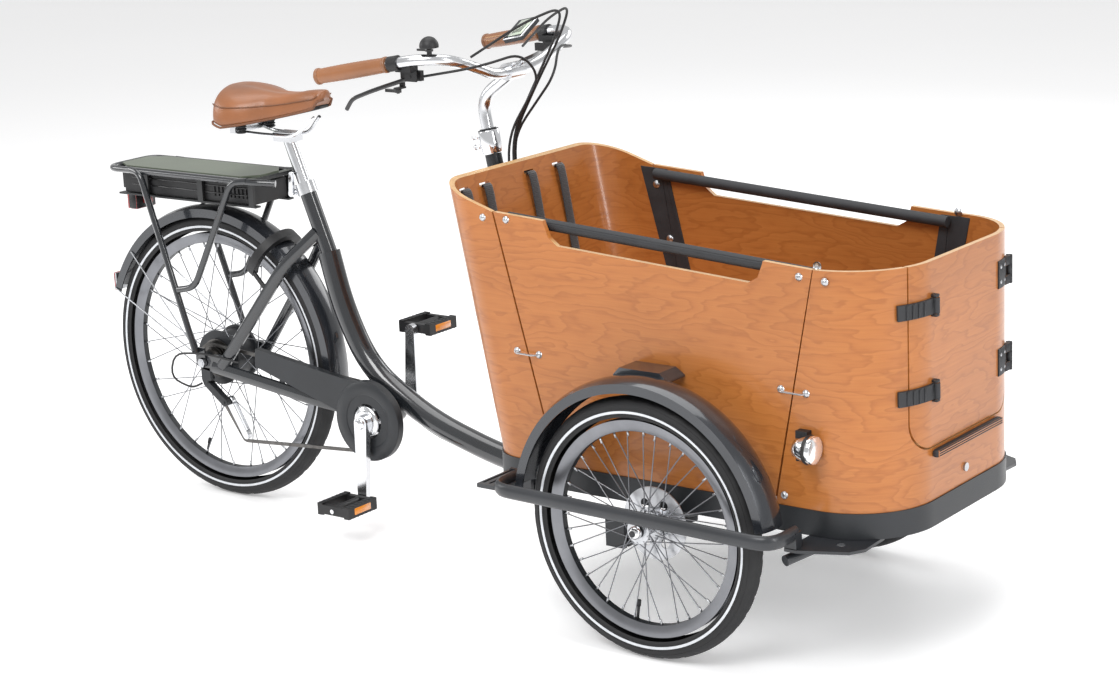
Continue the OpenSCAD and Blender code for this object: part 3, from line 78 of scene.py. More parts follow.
class Mat:
    """A node material around one Principled shader."""

    def __init__(self, name, base, rough=0.5, metal=0.0, coat=0.0, coat_rough=0.05):
        self.m = bpy.data.materials.new(name)
        self.m.use_nodes = True
        self.t = self.m.node_tree
        self.p = self.t.nodes["Principled BSDF"]
        self.p.inputs["Base Color"].default_value = (*base, 1)
        self.p.inputs["Roughness"].default_value = rough
        self.p.inputs["Metallic"].default_value = metal
        self.p.inputs["Coat Weight"].default_value = coat
        self.p.inputs["Coat Roughness"].default_value = coat_rough
        self.base = base
        self.rough = rough
        self.co = self.t.nodes.new("ShaderNodeTexCoord").outputs["Object"]

    def node(self, kind, **values):
        n = self.t.nodes.new(kind)
        for k, v in values.items():
            if k in n.inputs:
                n.inputs[k].default_value = v
            else:
                setattr(n, k, v)
        return n

    def link(self, a, b):
        self.t.links.new(a, b)
        return self

    def scaled(self, s):
        n = self.node("ShaderNodeMapping")
        n.inputs["Scale"].default_value = s
        self.link(self.co, n.inputs["Vector"])
        return n.outputs["Vector"]

    def noise(self, scale, detail=3.0, vec=None, rough=0.55):
        n = self.node("ShaderNodeTexNoise", Scale=scale, Detail=detail, Roughness=rough)
        self.link(vec or self.co, n.inputs["Vector"])
        return n.outputs["Fac"]

    def ramp(self, fac, stops):
        n = self.node("ShaderNodeValToRGB")
        e = n.color_ramp.elements
        while len(e) < len(stops):
            e.new(0.5)
        for q, (pos, col) in zip(e, stops):
            q.position = pos
            q.color = (*col, 1) if len(col) == 3 else col
        self.link(fac, n.inputs["Fac"])
        return n.outputs["Color"]

    def vary(self, scale, amount, detail=4.0):
        """Slight colour and roughness changes over the surface."""
        f = self.noise(scale, detail)
        dark = tuple(max(0, c * (1 - amount)) for c in self.base)
        light = tuple(min(1, c * (1 + amount)) for c in self.base)
        self.link(self.ramp(f, [(0.3, dark), (0.7, light)]), self.p.inputs["Base Color"])
        g = self.node("ShaderNodeMapRange")
        g.inputs["To Min"].default_value = max(0.02, self.rough * (1 - amount))
        g.inputs["To Max"].default_value = min(1, self.rough * (1 + amount))
        self.link(f, g.inputs["Value"])
        self.link(g.outputs["Result"], self.p.inputs["Roughness"])
        return self

    def bump(self, height, strength, distance=0.001):
        b = self.node("ShaderNodeBump", Strength=strength, Distance=distance)
        self.link(height, b.inputs["Height"])
        old = [k for k in self.t.links if k.to_socket == self.p.inputs["Normal"]]
        if old:
            self.link(old[0].from_socket, b.inputs["Normal"])
        self.link(b.outputs["Normal"], self.p.inputs["Normal"])
        return self

    def grain(self, scale, strength, distance=0.0006, detail=5.0):
        return self.bump(self.noise(scale, detail), strength, distance)


def plywood(name, lines_along):
    """Orange-brown beech ply: wavy cathedral grain, fine fibres, pale layered edges, clear varnish."""
    w = Mat(name, (0.46, 0.165, 0.04), 0.34, 0, 0.35, 0.12)
    w.p.inputs["Specular IOR Level"].default_value = 0.35
    soft = w.noise(1.0, 2.0, w.scaled((1.1, 1.1, 2.2)))
    # contour lines of a stretched field make the cathedral figure
    field = w.noise(1.0, 4.5, w.scaled((2.3, 2.3, 8.5)), 0.50)
    many = w.node("ShaderNodeMath", operation="MULTIPLY")
    many.inputs[1].default_value = 19.0
    w.link(field, many.inputs[0])
    lines = w.node("ShaderNodeMath", operation="FRACT")
    w.link(many.outputs[0], lines.inputs[0])
    fibre = w.noise(1.0, 4.0, w.scaled((7, 7, 260) if lines_along != "z" else (260, 260, 7)))
    fleck = w.noise(1.0, 1.0, w.scaled((55, 55, 700)))
    tone = w.ramp(lines.outputs[0], [(0.0, (0.47, 0.170, 0.041)), (0.60, (0.45, 0.158, 0.037)),
                                     (0.88, (0.39, 0.132, 0.030)), (1.0, (0.47, 0.172, 0.042))])
    big = w.ramp(soft, [(0.3, (0.84, 0.82, 0.80)), (0.7, (1.08, 1.07, 1.05))])
    mix = w.node("ShaderNodeMix", data_type="RGBA", blend_type="MULTIPLY")
    mix.inputs["Factor"].default_value = 1.0
    w.link(tone, mix.inputs[6]).link(big, mix.inputs[7])
    fib = w.ramp(fibre, [(0.3, (0.92, 0.90, 0.88)), (0.65, (1.04, 1.04, 1.04))])
    mix2 = w.node("ShaderNodeMix", data_type="RGBA", blend_type="MULTIPLY")
    mix2.inputs["Factor"].default_value = 0.9
    w.link(mix.outputs[2], mix2.inputs[6]).link(fib, mix2.inputs[7])
    fl = w.ramp(fleck, [(0.70, (1, 1, 1)), (0.78, (0.82, 0.76, 0.70))])
    mix3 = w.node("ShaderNodeMix", data_type="RGBA", blend_type="MULTIPLY")
    mix3.inputs["Factor"].default_value = 0.8
    w.link(mix2.outputs[2], mix3.inputs[6]).link(fl, mix3.inputs[7])
    # pale layered edges, where the surface faces up or down
    nrm = w.node("ShaderNodeSeparateXYZ")
    tc = w.node("ShaderNodeTexCoord")
    w.link(tc.outputs["Normal"], nrm.inputs["Vector"])
    ab = w.node("ShaderNodeMath", operation="ABSOLUTE")
    w.link(nrm.outputs["Z"], ab.inputs[0])
    edge = w.node("ShaderNodeMapRange")
    edge.inputs["From Min"].default_value = 0.62
    edge.inputs["From Max"].default_value = 0.75
    w.link(ab.outputs[0], edge.inputs["Value"])
    if lines_along == "flat":
        w.link(mix3.outputs[2], w.p.inputs["Base Color"])
    else:
        pale = w.ramp(w.noise(60, 4), [(0.3, (0.52, 0.30, 0.13)), (0.7, (0.64, 0.41, 0.20))])
        mix4 = w.node("ShaderNodeMix", data_type="RGBA")
        w.link(edge.outputs["Result"], mix4.inputs[0])
        w.link(mix3.outputs[2], mix4.inputs[6]).link(pale, mix4.inputs[7])
        w.link(mix4.outputs[2], w.p.inputs["Base Color"])
    w.bump(fibre, 0.12, 0.0004)
    rr = w.node("ShaderNodeMapRange")
    rr.inputs["To Min"].default_value = 0.28
    rr.inputs["To Max"].default_value = 0.42
    w.link(soft, rr.inputs["Value"])
    w.link(rr.outputs["Result"], w.p.inputs["Roughness"])
    return w.m


wood = plywood("wood_ply", "x")
wood_flat = plywood("wood_floor", "flat")
anthracite = Mat("paint_anthracite", (0.014, 0.016, 0.019), 0.20, 0.0, 0.9, 0.04).vary(6,
        0.15).grain(900, 0.05).m
mudguard_paint = Mat("paint_mudguard", (0.026, 0.029, 0.035), 0.22, 0.30, 0.8, 0.06).vary(8,
        0.12).grain(700, 0.06).m
satin_tube = Mat("paint_satin", (0.024, 0.026, 0.030), 0.38, 0.1, 0.2, 0.2).vary(8, 0.2).grain(1500,
        0.15, 0.0004).m
graphite = Mat("paint_graphite", (0.018, 0.020, 0.023), 0.42, 0.1).vary(9, 0.2).grain(1200, 0.2,
        0.0004).m
sage_mat = Mat("paint_sage", (0.125, 0.145, 0.108), 0.40, 0.15, 0.2, 0.25).vary(6, 0.12).grain(1400,
        0.12, 0.0004)
# only the rack's top plate is sage, and the carrier below it is dark
sage_tint = [k for k in sage_mat.t.links if k.to_socket == sage_mat.p.inputs["Base Color"]][0].from_socket
height = sage_mat.node("ShaderNodeSeparateXYZ")
sage_mat.link(sage_mat.co, height.inputs["Vector"])
is_plate = sage_mat.node("ShaderNodeMapRange")
is_plate.inputs["From Min"].default_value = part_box("rack_plate")[1][2] - 0.0042
is_plate.inputs["From Max"].default_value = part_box("rack_plate")[1][2] - 0.0038
sage_mat.link(height.outputs["Z"], is_plate.inputs["Value"])
plate_mix = sage_mat.node("ShaderNodeMix", data_type="RGBA")
plate_mix.inputs[6].default_value = (0.016, 0.017, 0.018, 1)
sage_mat.link(is_plate.outputs["Result"], plate_mix.inputs[0]).link(sage_tint, plate_mix.inputs[7])
sage_mat.link(plate_mix.outputs[2], sage_mat.p.inputs["Base Color"])
sage = sage_mat.m
black = Mat("plastic_black", (0.009, 0.009, 0.010), 0.48).vary(18, 0.25).grain(1800, 0.25, 0.0004).m
black_gloss = Mat("plastic_black_gloss", (0.012, 0.012, 0.013), 0.20, 0, 0.5, 0.08).vary(15, 0.2).m
rubber = Mat("rubber_dark", (0.021, 0.022, 0.025), 0.62).vary(30, 0.25).grain(900, 0.35, 0.0006).m
silver = Mat("alloy_polished", (0.72, 0.73, 0.75), 0.20, 1.0).vary(14, 0.10).grain(600, 0.05,
        0.0003).m
rim_alloy = Mat("alloy_rim", (0.21, 0.215, 0.23), 0.30, 1.0).vary(20, 0.10).grain(800, 0.08,
        0.0003).m
steel = Mat("steel_satin", (0.50, 0.51, 0.53), 0.30, 1.0).vary(40, 0.15).grain(900, 0.1, 0.0003).m
chrome = Mat("chrome", (0.80, 0.81, 0.83), 0.08, 1.0).vary(10, 0.06).m
worn_steel = Mat("steel_chain", (0.13, 0.125, 0.12), 0.38, 1.0).vary(60, 0.3).grain(700, 0.2,
        0.0004).m
tyre_mat = Mat("tyre_rubber", (0.010, 0.010, 0.011), 0.68).vary(25, 0.25).grain(700, 0.4, 0.0007).m
stripe_mat = Mat("reflective_stripe", (0.62, 0.64, 0.67), 0.35, 0.2).vary(80, 0.08).m
red_lens = Mat("lens_red", (0.30, 0.012, 0.010), 0.15, 0, 0.9, 0.04).vary(60, 0.2).m
screen = Mat("display_screen", (0.46, 0.53, 0.42), 0.12, 0, 0.9, 0.03).vary(12, 0.05).m
clear = Mat("lens_clear", (0.85, 0.88, 0.90), 0.06, 0.0, 1.0, 0.02)
clear.p.inputs["Transmission Weight"].default_value = 0.75
clear = clear.m
a_m = Mat("reflector_amber_cells", (0.80, 0.27, 0.02), 0.16, 0, 0.8, 0.05)
vor = a_m.node("ShaderNodeTexVoronoi", Scale=260.0)
a_m.link(a_m.co, vor.inputs["Vector"])
amber = a_m.bump(vor.outputs["Distance"], 0.5, 0.001).m


def leather(name, base, cell, strength):
    q = Mat(name, base, 0.38, 0, 0.25, 0.25)
    v = q.node("ShaderNodeTexVoronoi", Scale=cell)
    q.link(q.co, v.inputs["Vector"])
    f = q.noise(7, 5)
    lo = tuple(c * 0.72 for c in base)
    hi = tuple(min(1, c * 1.2) for c in base)
    q.link(q.ramp(f, [(0.28, lo), (0.72, hi)]), q.p.inputs["Base Color"])
    q.bump(v.outputs["Distance"], strength, 0.0007)
    q.grain(300, 0.2, 0.0008)
    return q.m


saddle_leather = leather("leather_saddle", (0.27, 0.098, 0.034), 520.0, 0.25)
grip_leather = leather("leather_grip", (0.27, 0.105, 0.038), 420.0, 0.4)
thread = Mat("thread_brown", (0.16, 0.065, 0.03), 0.7).vary(300, 0.3).m
thread_light = Mat("thread_pale", (0.62, 0.40, 0.22), 0.7).vary(300, 0.2).m

w_m = Mat("webbing_black", (0.016, 0.016, 0.018), 0.75)
w_m.p.inputs["Sheen Weight"].default_value = 0.4
wv = w_m.node("ShaderNodeTexWave", Scale=90.0, Distortion=0.6)
wv.bands_direction = "Z"
w_m.link(w_m.co, wv.inputs["Vector"])
wv2 = w_m.node("ShaderNodeTexWave", Scale=120.0, Distortion=0.6)
wv2.bands_direction = "Y"
w_m.link(w_m.co, wv2.inputs["Vector"])
webbing = w_m.bump(wv.outputs["Fac"], 0.5, 0.0008).bump(wv2.outputs["Fac"], 0.4, 0.0006).vary(60,
        0.3).m

# ---- carried-over CAD pieces -----------------------------------------------------------------


def smooth_tree():
    """Welds the imported mesh and shades it smooth below an angle."""
    g = bpy.data.node_groups.new("smooth_by_angle", "GeometryNodeTree")
    g.interface.new_socket(name="Geometry", in_out="INPUT", socket_type="NodeSocketGeometry")
    g.interface.new_socket(name="Geometry", in_out="OUTPUT", socket_type="NodeSocketGeometry")
    n = g.nodes
    gi, go = n.new("NodeGroupInput"), n.new("NodeGroupOutput")
    merge = n.new("GeometryNodeMergeByDistance")
    merge.inputs["Distance"].default_value = 0.00001
    s1 = n.new("GeometryNodeSetShadeSmooth")
    s2 = n.new("GeometryNodeSetShadeSmooth")
    s2.domain = "EDGE"
    s2.inputs["Shade Smooth"].default_value = False
    ang = n.new("GeometryNodeInputMeshEdgeAngle")
    cmp_ = n.new("FunctionNodeCompare")
    cmp_.operation = "GREATER_THAN"
    cmp_.inputs["B"].default_value = math.radians(33)
    lk = g.links.new
    lk(gi.outputs[0], merge.inputs["Geometry"])
    lk(merge.outputs[0], s1.inputs["Geometry"])
    lk(s1.outputs[0], s2.inputs["Geometry"])
    lk(ang.outputs["Unsigned Angle"], cmp_.inputs["A"])
    lk(cmp_.outputs[0], s2.inputs["Selection"])
    lk(s2.outputs[0], go.inputs[0])
    return g


smooth = smooth_tree()


def dress(names, mat, bevel=0.0):
    for name in names.split():
        o = nodes[name]
        if not o.material_slots:
            o.data.materials.append(mat)
        for s in o.material_slots:
            s.link = "OBJECT"
            s.material = mat
        g = o.modifiers.new("smooth", "NODES")
        g.node_group = smooth
        if bevel:
            b = o.modifiers.new("bevel", "BEVEL")
            b.width = bevel
            b.segments = 2
            b.limit_method = "ANGLE"
            b.angle_limit = math.radians(38)
            b.harden_normals = True


dress("main_frame rear_stays luggage_rack", anthracite)
dress("front_mudguards rear_mudguard", mudguard_paint)
dress("side_guards", satin_tube)
dress("chassis chain_guard steering_column", graphite, 0.0006)
dress("rack_plate", sage, 0.0006)
dress("battery", black, 0.0015)
dress("headlight pedal_right pedal_left control_clamps ring_lock", black, 0.0008)
dress("bell_lever shift_lever display_button brake_lever_right brake_lever_left", black_gloss)
dress("rear_cables", black)
dress("tail_light", red_lens, 0.001)
dress("latch_upper latch_lower grab_rails", rubber, 0.0008)
dress("box_sides box_front_panel box_back box_door", wood)
dress("box_floor bench", wood_flat, 0.0008)
dress("rear_rim front_right_rim front_left_rim", rim_alloy)
dress("rear_hub", graphite)
dress("front_right_hub front_left_hub", steel)
dress("cassette chain", worn_steel)
dress("rear_axle lock_shackle panel_fittings mudguard_stays", steel)
dress("crankset seatpost stem handlebar seat_collar seat_lever derailleur_cage", silver)
dress("derailleur display", graphite, 0.0006)

# ---- mesh helpers ----------------------------------------------------------------------------


def piece(name, verts, faces, mat, body, flat=False):
    me = bpy.data.meshes.new(name)
    me.from_pydata([tuple(v) for v in verts], [], faces)
    me.validate()
    me.materials.append(mat)
    me.polygons.foreach_set("use_smooth", [not flat] * len(me.polygons))
    me.update()
    o = bpy.data.objects.new(name, me)
    bpy.context.collection.objects.link(o)
    if body:
        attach(o, body)
    return o


def merge(parts):
    vs, fs = [], []
    for v, f in parts:
        k = len(vs)
        vs += [tuple(q) for q in v]
        fs += [[i + k for i in q] for q in f]
    return vs, fs


def lathe(profile, centre, axis="y", seg=64, closed=False):
    """A profile of (radius, height) pairs turned about an axis through centre."""
    vs, fs = [], []
    n = len(profile)
    for i in range(seg):
        a = 2 * math.pi * i / seg
        for r, h in profile:
            if axis == "y":
                p = (r * math.cos(a), h, r * math.sin(a))
            elif axis == "x":
                p = (h, r * math.cos(a), r * math.sin(a))
            else:
                p = (r * math.cos(a), r * math.sin(a), h)
            vs.append((p[0] + centre[0], p[1] + centre[1], p[2] + centre[2]))
    for i in range(seg):
        j = (i + 1) % seg
        for k in range(n if closed else n - 1):
            k2 = (k + 1) % n
            fs.append([i * n + k, i * n + k2, j * n + k2, j * n + k])
    return vs, fs


def pipe(points, radius, sides=12, ratio=1.0, caps=True, up_hint=(0, 0, 1)):
    """A tube along points; radius is a number or one per point, ratio flattens it."""
    P = [V(p) for p in points]
    n = len(P)
    tang = [(P[min(i + 1, n - 1)] - P[max(i - 1, 0)]).normalized() for i in range(n)]
    u = V(up_hint)
    if abs(u.dot(tang[0])) > 0.95:
        u = V((1, 0.1, 0))
    vs, fs = [], []
    for i in range(n):
        u = (u - tang[i] * u.dot(tang[i])).normalized()
        w = tang[i].cross(u)
        r = radius[i] if isinstance(radius, (list, tuple)) else radius
        for k in range(sides):
            a = 2 * math.pi * k / sides
            vs.append(P[i] + u * (r * math.cos(a)) + w * (r * ratio * math.sin(a)))
    for i in range(n - 1):
        for k in range(sides):
            k2 = (k + 1) % sides
            fs.append([i * sides + k, i * sides + k2, (i + 1) * sides + k2, (i + 1) * sides + k])
    if caps:
        fs.append(list(range(sides - 1, -1, -1)))
        fs.append([(n - 1) * sides + k for k in range(sides)])
    return vs, fs


def curve_points(points, steps=8):
    """Catmull-Rom through the points."""
    P = [V(p) for p in points]
    out = []
    for i in range(len(P) - 1):
        a, b, c, d = P[max(i - 1, 0)], P[i], P[i + 1], P[min(i + 2, len(P) - 1)]
        for k in range(steps):
            t = k / steps
            out.append(0.5 * ((2 * b) + (c - a) * t + (2 * a - 5 * b + 4 * c - d) * t * t
                              + (3 * b - a - 3 * c + d) * t ** 3))
    out.append(P[-1])
    return out


def brick(lo, hi, r=0.002, rot=None, at=(0, 0, 0)):
    """A box with chamfered edges, turned by rot and moved to at."""
    (x0, y0, z0), (x1, y1, z1) = lo, hi
    vs, fs = [], []
    rings = [(z0, r), (z0 + r, 0), (z1 - r, 0), (z1, r)]
    for z, d in rings:
        a, b, c, e = x0 + d, x1 - d, y0 + d, y1 - d
        vs += [(a + r, c, z), (b - r, c, z), (b, c + r, z), (b, e - r, z), (b - r, e, z), (a + r, e,
                z),
               (a, e - r, z), (a, c + r, z)]
    for k in range(3):
        for i in range(8):
            j = (i + 1) % 8
            fs.append([k * 8 + i, k * 8 + j, (k + 1) * 8 + j, (k + 1) * 8 + i])
    fs.append(list(range(7, -1, -1)))
    fs.append([24 + i for i in range(8)])
    rot = rot or Matrix.Identity(3)
    return [rot @ V(v) + V(at) for v in vs], fs


def boxes(node):
    lo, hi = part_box(node)
    return V(lo), V(hi)


# ---- wheels ----------------------------------------------------------------------------------

wheels = {}
for node, body in (("rear", "rear_wheel"), ("front_right", "front_right_wheel"), ("front_left",
        "front_left_wheel")):
    lo, hi = boxes(node + "_tyre")
    wheels[node] = ((lo + hi) / 2, (hi.z - lo.z) / 2, (hi.y - lo.y) / 2, body)


def tyre(name, c, R, half, body):
    """A tyre with a grooved crown, shoulders and sidewalls."""
    seg = 240
    prof = []
    rc = R - half
    for k in range(0, 33):
        a = math.radians(-128 + 256 * k / 32)
        prof.append((a, rc + half * math.cos(a), half * math.sin(a)))
    bead = R - 0.043
    n = len(prof)
    vs, fs = [], []
    for i in range(seg):
        t = 2 * math.pi * i / seg
        for k, (a, r, y) in enumerate(prof):
            deg = abs(math.degrees(a))
            cut = 0.0
            if deg < 46:
                phase = (i + (3 if k > 16 else 0)) % 6
                if 6 < deg < 12 or 24 < deg < 30:
                    cut = 0.0014
                if phase == 0 and 12 <= deg <= 46:
                    cut = 0.0014
            r2_ = r - cut
            if r2_ < bead:
                r2_ = bead
            vs.append((c[0] + r2_ * math.cos(t), c[1] + y * (0.985 if cut else 1),
                    c[2] + r2_ * math.sin(t)))
    for i in range(seg):
        j = (i + 1) % seg
        for k in range(n - 1):
            fs.append([i * n + k, i * n + k + 1, j * n + k + 1, j * n + k])
    return piece(name, vs, fs, tyre_mat, body)


for key, (c, R, half, body) in wheels.items():
    t = tyre(key + "_tyre_tread", c, R, half, body)
    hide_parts(key + "_tyre")
    # reflective stripe and moulded ribs on each sidewall
    parts = []
    for s in (-1, 1):
        rc = R - half
        ring = []
        for deg in (92, 96, 100, 104):
            a = math.radians(deg)
            ring.append((rc + (half + 0.0004) * math.cos(a), s * (half + 0.0004) * math.sin(a)))
        parts.append(lathe(ring, c, "y", 128))
    v, f = merge(parts)
    piece(key + "_stripe", v, f, stripe_mat, body)
    ribs = []
    for s in (-1, 1):
        rc = R - half
        for deg in (62, 84, 112):
            a = math.radians(deg)
            p = (rc + half * math.cos(a), s * half * math.sin(a))
            q = 0.0007
            ring = [(p[0] + q * math.cos(b), p[1] + q * math.sin(b)) for b in np.linspace(0,
                    2 * math.pi, 7)[:-1]]
            ribs.append(lathe(ring, c, "y", 128, True))
    v, f = merge(ribs)
    piece(key + "_sidewall_ribs", v, f, tyre_mat, body)
    # rim's dark inner band, spoke nipples and valve
    outer = R - 0.043
    inner = outer - 0.022
    band = [(inner - 0.0003, -0.0068), (inner - 0.0006, 0), (inner - 0.0003, 0.0068)]
    v, f = lathe(band, c, "y", 128)
    piece(key + "_rim_band", v, f, graphite, body)
    nip = []
    pairs = 9
    step = 360 / pairs
    for s in (0, 1):
        for i in range(pairs):
            for turn in (-1, 1):
                at = math.radians(i * step + (step / 2 if turn > 0 else 0) + s * step / 4)
                y = (-0.002 if s == 0 else 0.002) + turn * 0.0015
                d = V((math.cos(at), 0, math.sin(at)))
                if key == "front_right":
                    d = V((math.cos(at), 0, -math.sin(at)))
                else:
                    y = -y
                p1 = V(c) + d * (inner - 0.011) + V((0, y * 1.6, 0))
                p2 = V(c) + d * (inner + 0.001) + V((0, y, 0))
                nip.append(pipe([p1, p2], 0.0022, 8))
    v, f = merge(nip)
    piece(key + "_nipples", v, f, steel, body)
    a = math.radians(250 if key == "rear" else 262)
    d = V((math.cos(a), 0, math.sin(a)))
    v, f = merge([pipe([V(c) + d * (inner - 0.034), V(c) + d * (inner + 0.001)], 0.0028, 12),
                  pipe([V(c) + d * (inner - 0.040), V(c) + d * (inner - 0.028)], 0.0040, 12)])
    piece(key + "_valve", v, f, black, body)

# ---- saddle ----------------------------------------------------------------------------------

lo, hi = boxes("saddle")
# the cover is cut shorter at the rear than the solid below it
lo.x += 0.026
length = hi.x - lo.x
SADDLE_N = 30
SADDLE_K = 24


def saddle_half(t):
    rear = 0.100 * math.sin(math.pi * min(1, (0.30 + t * 1.18)) ** 1.0) ** 0.8 if t < 0.593 else 0
    nose = 0.026 + 0.030 * max(0, 1 - (t - 0.45) / 0.4) ** 1.6 if t > 0.45 else 0.056
    h = max(rear, nose)
    if t > 0.93:
        h *= math.sqrt(max(0.05, 1 - ((t - 0.93) / 0.075) ** 2))
    if t < 0.06:
        h *= 0.55 + 0.45 * math.sqrt(1 - (1 - t / 0.06) ** 2)
    return h


def saddle_top(t):
    return hi.z - 0.006 + 0.006 * math.cos(2 * math.pi * (t - 0.05)) - 0.014 * max(0,
            t - 0.82) * 5 * max(0, t - 0.82)


def saddle_skirt(t):
    return lo.z - 0.007 + 0.050 * t ** 1.4 + 0.016 * max(0, 0.16 - t) * 6


rings = []
for i in range(SADDLE_N + 1):
    t = i / SADDLE_N
    x = lo.x + length * t
    h, zt, zs = saddle_half(t), saddle_top(t), saddle_skirt(t)
    if t > 0.93:
        zs = min(zt - 0.02, zs + (t - 0.93) * 0.35)
    row = []
    for k in range(SADDLE_K + 1):
        a = math.pi * k / SADDLE_K
        ca, sa = math.cos(a), math.sin(a)
        y = h * math.copysign(abs(ca) ** 0.84, ca)
        z = zs + (zt - zs) * abs(sa) ** 0.66
        groove = 0.004 * math.exp(-(y / 0.010) ** 2) * (1 if 0.15 < t < 0.75 else 0.2)
        row.append(V((x, y, z - groove)))
    rings.append(row)
vs = [p for row in rings for p in row]
K1 = SADDLE_K + 1
fs = [[i * K1 + k, (i + 1) * K1 + k, (i + 1) * K1 + k + 1,
        i * K1 + k + 1] for i in range(SADDLE_N) for k in range(SADDLE_K)]
base = len(vs)
for i in range(SADDLE_N + 1):
    row = rings[i]
    for k in (0, SADDLE_K):
        vs.append(V((row[k].x, row[k].y * 0.86, row[k].z + 0.003)))
for i in range(SADDLE_N):
    fs.append([i * K1, base + 2 * i, base + 2 * i + 2, (i + 1) * K1])
    fs.append([i * K1 + SADDLE_K, (i + 1) * K1 + SADDLE_K, base + 2 * i + 3, base + 2 * i + 1])
    fs.append([base + 2 * i, base + 2 * i + 1, base + 2 * i + 3, base + 2 * i + 2])
fs.append(list(range(K1)) + [base + 1, base])
fs.append(list(range(SADDLE_N * K1 + SADDLE_K, SADDLE_N * K1 - 1, -1)) + [base + 2 * SADDLE_N,
        base + 2 * SADDLE_N + 1])
saddle = piece("saddle_cover", vs, fs, saddle_leather, "seat")
sub = saddle.modifiers.new("round", "SUBSURF")
sub.levels = sub.render_levels = 2
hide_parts("saddle")
for s, k in (("right", 0), ("left", SADDLE_K)):
    edge = [rings[i][k] + V((0, 0.0012 * (1 if k == 0 else -1),
            0.001)) for i in range(SADDLE_N + 1)]
    v, f = pipe(edge, 0.0026, 8)
    piece("saddle_piping_" + s, v, f, thread, "seat")
    line = [rings[i][3 if k == 0 else SADDLE_K - 3] for i in range(1, SADDLE_N)]
    v, f = pipe([p + V((0, (0.0012 if k == 0 else -0.0012), 0.0005)) for p in line], 0.0013, 6)
    piece("saddle_seam_" + s, v, f, thread, "seat")
base_pts = []
for i in range(1, SADDLE_N - 1):
    row = rings[i]
    base_pts.append((row[0].x, row[0].y * 0.84, row[0].z - 0.002))
vs, fs = [], []
for (x, y, z) in base_pts:
    vs += [(x, y, z), (x, -y, z), (x, -y * 0.9, z + 0.010), (x, y * 0.9, z + 0.010)]
for i in range(len(base_pts) - 1):
    for k in range(4):
        k2 = (k + 1) % 4
        fs.append([4 * i + k, 4 * i + k2, 4 * i + 4 + k2, 4 * i + 4 + k])
fs.append([3, 2, 1, 0])
n4 = 4 * (len(base_pts) - 1)
fs.append([n4, n4 + 1, n4 + 2, n4 + 3])
piece("saddle_base", vs, fs, black, "seat")
sp = boxes("seatpost")
parts = []
for s in (-1, 1):
    for q in range(6):
        z = sp[1].z - 0.040 + q * 0.006
        parts.append(lathe([(0.010, z - 0.0025), (0.0125, z), (0.010, z + 0.0025)], (lo.x + 0.052,
                s * 0.045, 0), "z", 20))
v, f = merge(parts)
piece("saddle_elastomers", v, f, rubber, "seat")

# ---- grips -----------------------------------------------------------------------------------

FAX = 0.624
grip_in = V((FAX - 0.650, -0.246, 1.056))
grip_out = V((FAX - 0.812, -0.268, 1.028))
gd = (grip_out - grip_in).normalized()
L = (grip_out - grip_in).length


def flip(p):
    return V((p[0], -p[1], p[2]))


parts, caps_, stitch = [], [], []
for s in (0, 1):
    a, d = (grip_in, gd) if s == 0 else (flip(grip_in), flip(gd))
    stations, radii = [], []
    for i in range(41):
        t = i / 40
        stations.append(a + d * (0.004 + t * (L - 0.004)))
        radii.append(0.0150 + 0.0012 * math.sin(math.pi * t) - 0.0004 * (i % 2))
    parts.append(pipe(stations, radii, 28))
    for q, r in ((0.000, 0.0162), (L - 0.004, 0.0166)):
        caps_.append(pipe([a + d * q, a + d * (q + 0.0015), a + d * (q + 0.006),
                a + d * (q + 0.0075)],
                          [r - 0.0015, r, r, r - 0.0012], 28))
    side = d.cross(V((0, 0, 1))).normalized()
    topv = side.cross(d).normalized()
    out = side if s == 0 else -side
    for i in range(30):
        q = 0.012 + i * (L - 0.022) / 30
        for w in (-1, 1):
            c0 = a + d * q + (out * 0.86 + topv * 0.25).normalized() * 0.0161 + topv * 0.0035 * w
            stitch.append(pipe([c0 - d * 0.0014 - topv * 0.0012 * w,
                    c0 + d * 0.0014 + topv * 0.0008 * w], 0.0007, 6))
v, f = merge(parts)
grips = piece("grip_covers", v, f, grip_leather, "handlebar")
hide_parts("grips")
v, f = merge(caps_)
piece("grip_end_rings", v, f, leather("leather_ring", (0.22, 0.09, 0.035), 420.0, 0.3), "handlebar")
v, f = merge(stitch)
piece("grip_stitches", v, f, thread_light, "handlebar")

# ---- belts -----------------------------------------------------------------------------------

blo, bhi = boxes("belts")
straps = []
for y in (-0.195, -0.130, 0.014, 0.108):
    pts = curve_points([(blo.x + 0.001, y, bhi.z - 0.006), (blo.x + 0.004, y, bhi.z - 0.001),
            (blo.x + 0.012, y, bhi.z - 0.020),
                        (blo.x + 0.026, y + 0.004, bhi.z - 0.12), (blo.x + 0.050, y - 0.003,
                        bhi.z - 0.215),
                        (blo.x + 0.078, y, blo.z + 0.012), (bhi.x - 0.008, y + 0.002,
                        blo.z + 0.005)], 8)
    straps.append(pipe(pts, 0.0125, 12, 0.085, True, (0, 1, 0)))
v, f = merge(straps)
belts = piece("belt_straps", v, f, webbing, "front_unit")
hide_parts("belts")

# ---- lamps, display, pedals, small fittings --------------------------------------------------

